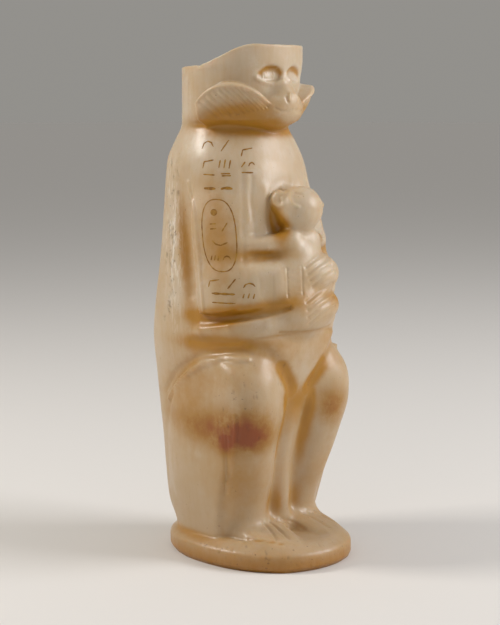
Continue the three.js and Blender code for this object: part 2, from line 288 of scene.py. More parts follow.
@dataclass(frozen=True)
class Carving:
    """The figure as one smooth form, the same as the solid's.

    Each form's method takes points p as (3, n) and gives the form's length there, negative in the stone.
    """

    sizes: CarvingSizes = CarvingSizes()

    # Height, half width, half length, middle and squareness of the body.
    TRUNK: ClassVar[Knots] = (
        (0, 20.6, 19, 12.4, 2.6),
        (9, 21.6, 19.4, 12.4, 2.6),
        (18, 23.2, 21.5, 13.7, 2.6),
        (30, 23.8, 23, 14, 2.6),
        (41, 24.2, 25.5, 13, 2.6),
        (52, 24.6, 28.5, 12, 2.6),
        (66, 25.4, 31.6, 10.4, 2.7),
        (80, 27, 32.7, 8.9, 2.9),
        (93, 26.6, 31, 9.2, 2.9),
        (110, 25.7, 27.6, 10.2, 2.8),
        (126, 25, 25.1, 11.3, 2.7),
        (139, 24.2, 24, 12.2, 2.5),
        (145, 23.5, 23, 12.8, 2.4),
        (151, 21.5, 21.2, 13, 2.2),
        (156, 19.4, 19.7, 13.2, 2),
        (161, 18.6, 19.2, 12.6, 2),
    )
    # Height, x, y and radius of the shin.
    SHIN: ClassVar[Knots] = (
        (4, 12.9, -5, 7.4),
        (20, 13, -5.8, 7.6),
        (30, 14, -8.6, 8.2),
        (40, 15.8, -10.5, 9.2),
        (50, 17, -12.4, 10),
        (60, 18, -13.6, 10.2),
        (66, 18.4, -13.4, 10),
        (71, 18.6, -12.6, 8.6),
        (75, 18.6, -11.8, 5.6),
        (77.5, 18.6, -11.4, 1.5),
    )
    # Round bars: x, y, z and radius. Level bars: x, y, z, half height and half depth.
    BRIDGE: ClassVar[Knots] = ((0, -9, 175, 3), (0, -11.4, 166, 4.6))
    FLANK_HOLLOW: ClassVar[Knots] = (
        (28.4, 13, 140, 3),
        (28.9, 11.2, 122, 4.7),
        (29.6, 8.8, 104, 4.7),
        (31, 6.8, 88, 2.6),
    )
    FOREARM: ClassVar[Knots] = (
        (18.8, -3.6, 99.6, 9.7, 9.8),
        (15.4, -11.4, 101, 8.8, 8.8),
        (10.2, -16.6, 102.2, 7.4, 7.6),
        (3.5, -19.8, 103.2, 6.2, 6.8),
    )
    FOREARM_CHANNEL: ClassVar[Knots] = (
        (29, 2, 87.6, 1.6),
        (25, -9, 89.6, 1.8),
        (18.4, -19.4, 91.6, 1.6),
        (11, -25.8, 93.4, 0.6),
    )
    YOUNG_ARM: ClassVar[Knots] = (
        (5, -20, 116.5, 3.6),
        (13, -16.2, 115, 2.6),
        (19.5, -11, 115, 2.4),
        (23, -7, 115.6, 1.6),
    )
    YOUNG_LEG: ClassVar[Knots] = (
        (7, -20.6, 89.6, 6, 5.8),
        (14, -17, 88.6, 5.6, 5.6),
        (21.5, -8.5, 86.4, 4.6, 4.8),
        (25.6, 2, 84.6, 3, 3),
        (26, 7, 83.4, 1.6, 1.4),
    )
    CALF_GROOVE: ClassVar[Knots] = (
        (29.6, -11, 55, 0.3),
        (28.2, -11, 46, 0.9),
        (26.8, -10, 36, 0.5),
        (25.8, -8.4, 28, 0.1),
    )
    SHIN_RIDGE: ClassVar[Knots] = ((0, -9.4, 8, 4), (0, -9.8, 36, 4), (0, -13.4, 52, 3))
    # Middle and radii of the hollow of the eye.
    EYE_HOLLOW: ClassVar[Knots] = ((7.2, -11.8, 174.4), (4.9, 2, 3))
    # How far past the middle each side's forms may reach.
    PAST_MIDDLE: ClassVar[float] = 9.0

    def trunk(self, p: Array) -> Array:
        """The body from the base to the neck."""
        return oval(p, *along(self.TRUNK, p[2]))

    @staticmethod
    def round_head(p: Array) -> tuple[Array, Array]:
        """Degrees round the head from the nose, and the distance from the head's axis."""
        fore = VESSEL.head_middle - p[1]
        return np.degrees(np.arctan2(np.abs(p[0]), fore)), np.hypot(p[0], fore)

    def skull(self, p: Array) -> Array:
        """The round head above the jaw, drawn in towards the face.

        Args:
            p: the points, as (3, n).

        Returns:
            The form's length at each point.
        """
        turn, out = self.round_head(p)
        face = 1.0 - ease(turn, 70, 105)
        cheeks = 1.1 * ease(-p[2], -180, -171) + 1.6 * ease(-p[2], -171, -159)
        return common(out - (VESSEL.head_radius - face * cheeks), self.sizes.jaw - p[2], 3)

    def collar_edge(self, turn: Array) -> Array:
        """Height of the fur collar's upper edge at each turn round the head."""
        swing = turn - self.sizes.collar_crown_turn
        drop = np.where(swing < 0, 6.4 * (swing / 38) ** 2, 6.5 * (swing / 28) ** 2)
        return self.sizes.collar_crown - drop

    def collar(self, p: Array) -> tuple[Array, Array]:
        """The fur collar, and the fillet that joins it to the head.

        Args:
            p: the points, as (3, n).

        Returns:
            The form's length and the fillet's size at each point.
        """
        s = self.sizes
        turn, out = self.round_head(p)
        below = self.collar_edge(turn) - p[2]
        stand = s.collar_proud * ease(turn, 6, 38) * (1.0 - ease(turn, 84, 92))
        fall = power(np.clip((below - 1) / s.collar_depth, 0.0, 1.0), 1.1 + 1.1 * ease(turn, 45, 65))
        root = VESSEL.head_radius - 1.2 - 2.6 * ease(below, 4, 14) - 1.3 * np.maximum(158.5 - p[2], 0)
        form = out - (root + stand * ease(below, -0.8, 0.8) * (1.0 - fall))
        return form, 0.8 + 2.4 * ease(below, 7, 14)

    def muzzle(self, p: Array) -> Array:
        """The snout and the bridge of the nose above it."""
        snout = ellipsoid(p, (0, -7.6, 162.4), (10.6, 9, 6.8), -6)
        return join(snout, limb(p, self.BRIDGE), 4)

    def upper_arm(self, p: Array, trunk: Array) -> Array:
        """The flat slab of the upper arm, a little proud of the trunk.

        Args:
            p: the points, as (3, n).
            trunk: the trunk's length at each point.

        Returns:
            The form's length at each point.
        """
        s = self.sizes
        x, y, z = p
        face = trunk - s.arm_proud + 4 * ease(z, 118, 146)
        behind = 0.98 * (y - s.elbow_back - 0.185 * (z - s.elbow_height))
        under = s.elbow_height - 0.2 * (y - s.elbow_back) - z
        slab = common(common(face, behind, 1.2), under, 1.2)
        return common(common(slab, 3 - x, 2), -13.5 - y, 4)

    def flank_hollow(self, p: Array) -> Array:
        """The long hollow behind the upper arm."""
        return limb(p, self.FLANK_HOLLOW)

    def forearm(self, p: Array) -> Array:
        """The forearm that reaches round to the young."""
        return strap(p, self.FOREARM, 2.8)

    def forearm_channel(self, p: Array) -> Array:
        """The channel under the forearm."""
        return limb(p, self.FOREARM_CHANNEL)

    def hands(self, p: Array) -> Array:
        """Her two hands, one above the other on the young's back.

        Args:
            p: the points, as (3, n).

        Returns:
            The form's length at each point.
        """
        upper = ellipsoid(p, (4.5, -22.6, 104.2), (10.5, 7.4, 7.4))
        lower = ellipsoid(p, (3, -22.6, 92.8), (11.5, 8.6, 6.6))
        return join(upper, lower, 3.5)

    def young_trunk(self, p: Array) -> Array:
        """The young's chest and rump.

        Args:
            p: the points, as (3, n).

        Returns:
            The form's length at each point.
        """
        chest = ellipsoid(p, (0, -17, 108), (11.5, 10, 12))
        rump = ellipsoid(p, (0, -18.6, 92), (15, 12, 10.8))
        return join(chest, rump, 5)

    def young_head(self, p: Array) -> Array:
        """The young's round head."""
        return ellipsoid(p, (0, -19.6, 127.3), (8.5, 8.4, 8.2))

    def young_ear(self, p: Array) -> Array:
        """The young's ear."""
        return ellipsoid(p, (7, -16.4, 130.4), (2, 2.8, 3.6))

    def young_arm(self, p: Array) -> Array:
        """The young's arm, held out along her chest."""
        return limb(p, self.YOUNG_ARM)

    def young_leg(self, p: Array) -> Array:
        """The young's leg, wrapped round her waist."""
        return strap(p, self.YOUNG_LEG, 2.2)

    def shin(self, p: Array) -> Array:
        """Her lower leg, round and tapering, with the knee at its top."""
        x, y, radius = along(self.SHIN, p[2])
        return np.hypot(p[0] - x, p[1] - y) - radius + np.maximum(p[2] - self.sizes.shin_top, 0)

    def haunch(self, p: Array) -> Array:
        """The flat shield of the haunch with its arched top.

        Args:
            p: the points, as (3, n).

        Returns:
            The form's length at each point.
        """
        s = self.sizes
        x, y, z = p
        drawn = 3.4 * (1.0 - ease(z, 2, 34))
        face = oval(p, s.haunch_face - drawn, 30 - drawn, 2, 2.8)
        rise = s.haunch_rise - s.haunch_back_drop * ease(y, -8, 14)
        over = np.maximum(z - s.haunch_shoulder, 0) / rise
        arch = np.hypot((y - s.haunch_middle) / s.haunch_reach, over)
        front = -0.97 * (y + 5 + 0.24 * (z - 10)) - 12 * ease(z, 42, 74)
        shield = common(common(face, (arch - 1) * s.haunch_reach, 2.4), front, 4)
        return common(shield, 6 - x, 3)

    def calf_groove(self, p: Array) -> Array:
        """The groove between the calf and the haunch."""
        return limb(p, self.CALF_GROOVE)

    def foot(self, p: Array) -> Array:
        """One flat foot, sloping down to the toes.

        Args:
            p: the points, as (3, n).

        Returns:
            The form's length at each point.
        """
        s = self.sizes
        aside = np.stack([p[0] - s.foot_x, p[1]])
        plan = oval(aside, s.foot_half_width, s.foot_half_length, s.foot_middle, 2.1)
        top = 0.96 * (p[2] - s.foot_instep - s.foot_slope * (p[1] + 10) + 0.12 * np.abs(p[0] - 8))
        return common(plan, top, 4)

    def shin_ridge(self, p: Array) -> Array:
        """The ridge left between the shins."""
        return limb(p, self.SHIN_RIDGE)

    def base(self, p: Array) -> Array:
        """The low oval base, worn round at its foot.

        Args:
            p: the points, as (3, n).

        Returns:
            The form's length at each point.
        """
        s = self.sizes
        worn = s.stance_worn * (1.0 - ease(p[2], 0, 2.5)) ** 2
        half_width = s.stance_half_width + VESSEL.base_ledge
        side = oval(p, half_width, s.stance_half_length + VESSEL.base_ledge, 0, s.stance_power) + worn
        slope = 0.78 * (s.stance_slope * side + (p[2] - VESSEL.base_edge))
        return common(common(side, slope, 0.9), p[2] - VESSEL.base_edge - s.stance_rise, 1)

    def limbs(self, stone: Array, p: Array) -> Array:
        """Adds what each side has besides its upper arm and foot.

        Args:
            stone: the carving's length so far.
            p: the points, as (3, n), turned to her left side.

        Returns:
            The carving's length with this side's limbs.
        """
        stone = join(stone, self.young_ear(p), 1.8)
        stone = join(stone, self.young_arm(p), 2.4)
        stone = join(stone, self.forearm(p), 3)
        stone = join(stone, self.young_leg(p), 1)
        stone = cut(stone, self.forearm_channel(p), 1.5)
        stone = join(stone, self.haunch(p), 1.4)
        stone = join(stone, self.shin(p), 5.5)
        return cut(stone, self.calf_groove(p), 1)

    def depth(self, p: Array) -> Array:
        """Puts the whole carving together.

        Args:
            p: the points, as (3, n).

        Returns:
            The carving's length at each point, negative in the stone.
        """
        trunk = self.trunk(p)
        stone = join(trunk, self.skull(p), 2.5)
        stone = join(stone, *self.collar(p))
        stone = join(stone, self.muzzle(p), 2)
        sides = []
        for sign in (1.0, -1.0):
            here = np.flatnonzero(p[0] * sign > -self.PAST_MIDDLE)
            q = p[:, here].copy()
            q[0] *= sign
            sides.append((here, q))

        def each_side(step: Callable[[Array, Array, Array], Array]) -> None:
            """Works one step into both sides."""
            for here, q in sides:
                stone[here] = step(stone[here], q, here)

        each_side(lambda s, q, _: cut(s, ellipsoid(q, *self.EYE_HOLLOW), 1))
        each_side(lambda s, q, _: cut(s, self.flank_hollow(q), 3))
        each_side(lambda s, q, here: join(s, self.upper_arm(q, trunk[here]), 0.6))
        stone = join(stone, self.young_trunk(p), 3)
        stone = join(stone, self.young_head(p), 4.5)
        each_side(lambda s, q, _: self.limbs(s, q))
        stone = join(stone, self.shin_ridge(p), 4)
        stone = join(stone, self.hands(p), 1.5)
        each_side(lambda s, q, _: join(s, self.foot(q), 4))
        return join(stone, self.base(p), 0.8)


# The skin


@dataclass(frozen=True)
class Skin:
    """A closed skin of rows of points, in millimetres.

    points is (3, n). faces is (m, 3). outside holds the points on the carving, rows by columns.
    """

    points: Array
    faces: Array
    outside: slice


@dataclass(frozen=True)
class SkinMaker:
    """Finds the carving's skin by fans of rays from inside and closes it over the rim and down the bore."""

    carving: Carving
    detail: SkinDetail

    # How far out the fan's second height is, where the rays start, and how often a find is halved.
    RAY_RUN: ClassVar[float] = 45.0
    START: ClassVar[float] = 54.0
    HALVINGS: ClassVar[int] = 7
    # How far beside a point its slope is felt, and the farthest that one round of settling moves it.
    PROBE: ClassVar[float] = 0.05
    FARTHEST: ClassVar[float] = 1.5
    # Share of the rows, height on the axis, height at RAY_RUN out, y of the axis.
    FAN: ClassVar[Knots] = (
        (0, 0.05, 0.05, 6),
        (0.03, 1.5, 5, 6),
        (0.1, 6, 22, 8),
        (0.24, 38, 58, 10),
        (0.32, 66, 84, 7),
        (0.35, 76, 88, 5),
        (0.39, 88, 90, 0),
        (0.46, 99, 99, -2),
        (0.53, 106, 113, -3),
        (0.58, 111, 127, -3),
        (0.67, 119, 148, -1),
        (0.72, 136, 152, 4),
        (0.78, 154, 153, 9),
        (0.9, 161, 174, 9),
        (0.95, 168, 180, 9),
        (1, 184, 184, 9),
    )

    def turns(self) -> Array:
        """Turns of the columns from the front, closer together towards the figure's right front.

        Returns:
            The turns in radians, one for each column.
        """
        d = self.detail
        even = np.arange(d.columns) / d.columns * 2 * np.pi
        return math.radians(d.crowded_turn) - np.pi + even + d.crowding * np.sin(even)

    def cast(self, turns: Array) -> Array:
        """Follows every ray inward to where it enters the stone.

        Args:
            turns: the turn of each column.

        Returns:
            The places found, as (3, rows, columns).
        """
        d = self.detail
        fan = np.array(self.FAN, np.float64)
        share = np.arange(d.rows) / (d.rows - 1)
        z_in, z_out, middle = (np.interp(share, fan[:, 0], fan[:, k])[:, None] for k in (1, 2, 3))
        shape = (d.rows, d.columns)
        whole = (-np.sin(turns)[None, :], -np.cos(turns)[None, :], z_in, z_out, middle)
        dx, dy, z_in, z_out, middle = (np.broadcast_to(v, shape).ravel().astype(np.float32) for v in whole)
        rise = (z_out - z_in) / self.RAY_RUN

        def at(r: Array, i: Array) -> Array:
            """Places r out from the axis on the rays i."""
            return np.stack([dx[i] * r, middle[i] + dy[i] * r, z_in[i] + rise[i] * r])

        inside = np.full(dx.size, self.START, np.float32)
        outside = inside.copy()
        going = np.arange(dx.size)
        while going.size:
            depth = self.carving.depth(at(inside[going], going))
            clear = (depth > 0) & (inside[going] > 1)
            going, depth = going[clear], depth[clear]
            outside[going] = inside[going]
            inside[going] -= np.clip(0.6 * depth, 0.3, 8.0)
        every = np.arange(dx.size)
        for _ in range(self.HALVINGS):
            half = (inside + outside) / 2
            into = self.carving.depth(at(half, every)) < 0
            inside = np.where(into, half, inside)
            outside = np.where(into, outside, half)
        return at(inside, every).reshape(3, *shape)

    def normals_and_depth(self, points: Array) -> tuple[Array, Array]:
        """Feels which way and how fast the carving's length grows.

        Args:
            points: the points, as (3, n).

        Returns:
            The slope, unscaled, and the length at each point.
        """
        depth = self.carving.depth(points)
        slope = np.empty_like(points)
        for k in range(3):
            beside = points.copy()
            beside[k] += self.PROBE
            slope[k] = (self.carving.depth(beside) - depth) / self.PROBE
        return slope, depth

    def settle(self, grid: Array) -> Array:
        """Spreads the points evenly over the stone, all but the first rows and those above the brow.

        Args:
            grid: the points, as (3, rows, columns). They are moved in place.

        Returns:
            The same grid.
        """
        first = int(np.argmax(grid[2, :, 0] > 1))
        last = int(np.flatnonzero(grid[2].max(1) < VESSEL.brow)[-1])
        for _ in range(self.detail.settling_rounds):
            middle = grid[:, first : last + 1]
            spread = (
                np.roll(middle, 1, 2)
                + np.roll(middle, -1, 2)
                + grid[:, first - 1 : last]
                + grid[:, first + 1 : last + 2]
            ) / 8 + middle / 2
            flat = spread.reshape(3, -1)
            slope, depth = self.normals_and_depth(flat)
            steep = np.maximum((slope**2).sum(0), 0.2)
            pull = np.clip(depth / steep, -self.FARTHEST, self.FARTHEST)
            grid[:, first : last + 1] = (flat - pull * slope).reshape(middle.shape)
        return grid

    @staticmethod
    def rim_height(turns: Array) -> Array:
        """Height of the rim: high over the brow, low behind the ears, nicked at the right ear and worn.

        Args:
            turns: turns from the front, in radians.

        Returns:
            The height at each turn.
        """
        signed = np.degrees((turns + np.pi) % (2 * np.pi) - np.pi)
        degrees = np.abs(signed)
        dip = VESSEL.rim_dip_side * ease(degrees, 34, 93) + VESSEL.rim_dip_back * ease(degrees, 100, 150)
        nick = 0.7 * np.exp(-(((signed - 90) / 2.6) ** 2)) + 0.35 * np.exp(-(((signed + 57) / 4) ** 2))
        worn = 0.12 + 0.07 * np.sin(turns * 7 + 0.6) + 0.05 * np.sin(turns * 17 + 2.1)
        return VESSEL.height - dip - nick - worn

    def bore_rows(self, turns: Array) -> list[Array]:
        """Lines the mouth and the bore.

        Args:
            turns: the turn of each column.

        Returns:
            Rings (3, columns) from the rim's inner edge down to the bore's floor.
        """
        v = VESSEL
        rim = self.rim_height(turns)
        neck = v.height - v.mouth_depth
        mouth = v.head_radius - v.rim_wall
        rounding = v.bore_radius / 3

        def ring(radius: float, middle: float, height: Array | float) -> Array:
            """A round ring at a height, which may change along it."""
            z = np.broadcast_to(height, turns.shape)
            return np.stack([-np.sin(turns) * radius, middle - np.cos(turns) * radius, z])

        rows = [ring(mouth - 0.3, v.head_middle, rim + 0.0), ring(mouth, v.head_middle, rim - 0.6)]
        for share in (0.12, 0.24, 0.36):
            rows.append(ring(mouth, v.head_middle, rim + (neck - rim) * share))
        for share in (0.8, 0.55, 0.3, 0.12, 0.0):
            turn_in = share**1.5
            radius = v.bore_radius + (mouth - v.bore_radius) * turn_in
            middle = v.bore_middle + (v.head_middle - v.bore_middle) * turn_in
            rows.append(ring(radius, middle, neck + (v.height - neck) * share * 0.62))
        for share in (0.25, 0.5, 0.75, 1.0):
            rows.append(ring(v.bore_radius, v.bore_middle, neck + (v.bore_floor + rounding - neck) * share))
        rows.append(ring(v.bore_radius * 0.93, v.bore_middle, v.bore_floor + rounding * 0.4))
        rows.append(ring(v.bore_radius * 0.7, v.bore_middle, v.bore_floor))
        return rows

    def make(self) -> Skin:
        """Makes the whole skin, closed from the underside to the bore's floor.

        Returns:
            The skin.
        """
        turns = self.turns()
        grid = self.settle(self.cast(turns)).astype(np.float64)
        high = grid[2] > VESSEL.brow
        top = self.FAN[-1][1]
        rim = np.broadcast_to(self.rim_height(turns)[None, :], grid[2].shape)
        lifted = VESSEL.brow + (rim - VESSEL.brow) * (grid[2] - VESSEL.brow) / (top - VESSEL.brow)
        grid[2] = np.where(high, lifted, grid[2])
        grid[2, 0] = 0.0
        under = self.detail.underside_rows
        centre = np.array([0.0, self.FAN[0][3], 0.0])[:, None]
        rows = [centre + (grid[:, 0] - centre) * (i + 1) / (under + 1) for i in range(under)]
        rows += [grid[:, r] for r in range(grid.shape[1])]
        rows += self.bore_rows(turns)
        floor = np.array([0.0, VESSEL.bore_middle, VESSEL.bore_floor])[:, None]
        points = np.concatenate([centre, *rows, floor], axis=1)
        columns = self.detail.columns
        start = 1 + under * columns
        outside = slice(start, start + self.detail.rows * columns)
        return Skin(points, self.faces(points, len(rows)), outside)

    def faces(self, points: Array, rows: int) -> Array:
        """Triangles of the closed skin, each quad split along its shorter diagonal.

        Args:
            points: the first centre, the rows in turn and the last centre, as (3, n).
            rows: how many rows there are.

        Returns:
            The corners of each triangle, as (m, 3).
        """
        columns = self.detail.columns
        i = np.arange(columns)
        j = (i + 1) % columns
        last = points.shape[1] - 1
        fans = [np.stack([np.zeros_like(i), 1 + i, 1 + j], 1)]
        row = 1 + np.arange(rows)[:, None] * columns
        a, b = (row[:-1] + i).ravel(), (row[:-1] + j).ravel()
        c, d = (row[1:] + i).ravel(), (row[1:] + j).ravel()
        short = ((points[:, a] - points[:, d]) ** 2).sum(0) < ((points[:, b] - points[:, c]) ** 2).sum(0)
        one = np.where(short[:, None], np.stack([a, c, d], 1), np.stack([a, c, b], 1))
        two = np.where(short[:, None], np.stack([a, d, b], 1), np.stack([b, c, d], 1))
        top = 1 + (rows - 1) * columns
        fans.append(np.stack([top + i, np.full_like(i, last), top + j], 1))
        return np.concatenate([fans[0], one, two, fans[1]])


# Shallow work, in places (across, height) in millimetres as seen level from 45 degrees to her right

# Sine and cosine of the 45 degrees that the seen side is turned by.
HALF = math.sqrt(0.5)
Trace = Sequence[tuple[float, float]]


@dataclass(frozen=True)
class Stroke:
    """A line worked into the stone.

    depth is negative for a raised line. half_width is where the line has faded to a third. amber is how much
    old amber it holds, which on a stroke of no depth is painted shade, and dirt how much dark dirt.
    """

    trace: Trace
    half_width: float
    depth: float
    amber: float = 0.0
    both_sides: bool = False
    dirt: float = 0.0


@dataclass(frozen=True)
class Patch:
    """A soft spot on the stone: its middle, its radii, its turn in degrees and how strong it is."""

    middle: tuple[float, float]
    radii: tuple[float, float]
    amount: float
    turn: float = 0.0
    both_sides: bool = False

    def on(self, points: Array, normals: Array) -> Array:
        """How strong the spot is at each point.

        Args:
            points: the points, as (3, n).
            normals: their unit normals. The spot fades on stone that turns away from where it is seen.

        Returns:
            The strength at each point.
        """
        sides = (1.0, -1.0) if self.both_sides else (1.0,)
        sin, cos = math.sin(math.radians(self.turn)), math.cos(math.radians(self.turn))
        total = np.zeros(points.shape[1])
        for side in sides:
            across = (side * points[0] - points[1]) * HALF - self.middle[0]
            up = points[2] - self.middle[1]
            along_it = (across * cos + up * sin) / self.radii[0]
            beside_it = (up * cos - across * sin) / self.radii[1]
            reach = along_it**2 + beside_it**2
            facing = ease(-(side * normals[0] + normals[1]) * HALF, -0.25, 0.25)
            total = np.maximum(total, self.amount * np.exp(-reach) * facing)
        return total


def spots(patches: Sequence[Patch], points: Array, normals: Array) -> Array:
    """How strong several spots are together at each point."""
    return sum(patch.on(points, normals) for patch in patches)


def lengths_along(knots: Array) -> Array:
    """How far along its trace each knot of an (n, 2) array lies."""
    return np.concatenate([[0.0], np.cumsum(np.hypot(*np.diff(knots, axis=0).T))])


def fur_lines() -> list[Stroke]:
    """Incised hair that slants forward down the collar's face.

    Returns:
        The strokes, from the back to the front.
    """
    lines = []
    count = 11
    for k in range(count):
        share = k / (count - 1)
        start = -21.2 + 18 * share
        top = 169.8 - 0.04 * (start + 10) ** 2
        run = 6 + 2 * math.sin(math.pi * share)
        low = 159.6 + 3.4 * share
        bend = (start + 0.46 * run, top + 0.44 * (low - top))
        lines.append(Stroke(((start, top), bend, (start + run, low)), 0.4, 0.34, 0.3, True))
    return lines


def finger_lines() -> list[Stroke]:
    """Gaps between the fingers of both hands.

    Returns:
        The strokes, upper and lower hand in turn.
    """
    lines = []
    for k in range(4):
        a, z = 16.0 + 0.8 * k, 107.4 - 2.3 * k
        lines.append(Stroke(((a, z), (a + 3.7, z + 2.8), (a + 7.8, z + 4.9)), 0.6, 0.42, 0.2))
        a, z = 16.4 + 0.3 * k, 95.4 - 2.6 * k
        lines.append(Stroke(((a, z), (a + 4.2, z + 3.0), (a + 9.6, z + 5.6)), 0.6, 0.42, 0.2))
    return lines


def toe_lines() -> list[Stroke]:
    """Gaps between the toes of both feet.

    Returns:
        The strokes, from the instep forward.
    """
    instep, top, fall = -17, 14.2, 3.6
    lines = []
    for x in (6.6, 10.2, 13.8, 17.2):
        for sign in (-1.0, 1.0):
            far = -29.6 + 0.055 * (x - 9) ** 2
            trace = []
            for share in (0.0, 0.35, 0.7, 1.0):
                y = instep + (far - instep) * share
                trace.append(((sign * x * (0.86 + 0.14 * share) - y) * HALF, top - fall * share))
            lines.append(Stroke(tuple(trace), 0.6, 0.5, 0.18))
    return lines


def bracelet_lines() -> list[Stroke]:
    """Two rings round the wrist with short bars between them.

    Returns:
        The strokes, rings first.
    """
    inner = ((9.5, 107.0), (9.7, 101.8), (9.9, 97.2))
    outer = ((14.7, 107.4), (14.9, 102.3), (15.1, 98.0))
    lines = [Stroke(ring, 0.4, 0.26, 0.1) for ring in (inner, outer)]
    for k in range(7):
        z = 106.0 - 1.4 * k
        lines.append(Stroke(((10.1, z), (14.5, z + 0.6)), 0.32, 0.2))
    return lines


def pits(
    chance: random.Random,
    count: int,
    across: tuple[float, float],
    height: tuple[float, float],
    depth: float,
    darkest: float,
) -> list[Stroke]:
    """Small pits at random places.

    Args:
        chance: the source of the places and of how dark each pit is.
        count: how many there are.
        across: the least and greatest across.
        height: the least and greatest height.
        depth: how deep they are.
        darkest: the most dirt in one of them.

    Returns:
        The pits as very short strokes.
    """
    made = []
    for _ in range(count):
        a = chance.uniform(*across)
        z = chance.uniform(*height)
        made.append(Stroke(((a, z), (a + 0.1, z - 0.15)), 0.3, depth, dirt=chance.uniform(0.1, darkest)))
    return made


def scars() -> list[Stroke]:
    """Scratches down the back edge of her right side, and small pits on the haunch and the base.

    Returns:
        The strokes, the same at every run.
    """
    chance = random.Random(11)
    scratches = 90
    lowest, highest = 84, 146
    lines = []
    for _ in range(scratches):
        z = chance.uniform(lowest, highest)
        a = -30.5 - 0.055 * (highest - z) + chance.uniform(-1.6, 1.8)
        lean = chance.uniform(-0.9, 0.9)
        end = (a + lean, z - chance.uniform(0.5, 2.2))
        depth = chance.uniform(0.12, 0.3)
        lines.append(Stroke(((a, z), end), 0.3, depth, dirt=chance.choice((0.0, 0.0, 0.25, 0.5))))
    lines += pits(chance, 26, (-16, 9), (45, 74), 0.2, 0.55)
    lines += pits(chance, 30, (-24, 24), (1.5, 9), 0.18, 0.45)
    return lines


def chisel_marks() -> list[Stroke]:
    """Short upright dents down the back edge of the head."""
    return [Stroke(((-25.4, 171.4 - 1.9 * k), (-25.3, 170.4 - 1.9 * k)), 0.4, 0.28) for k in range(7)]


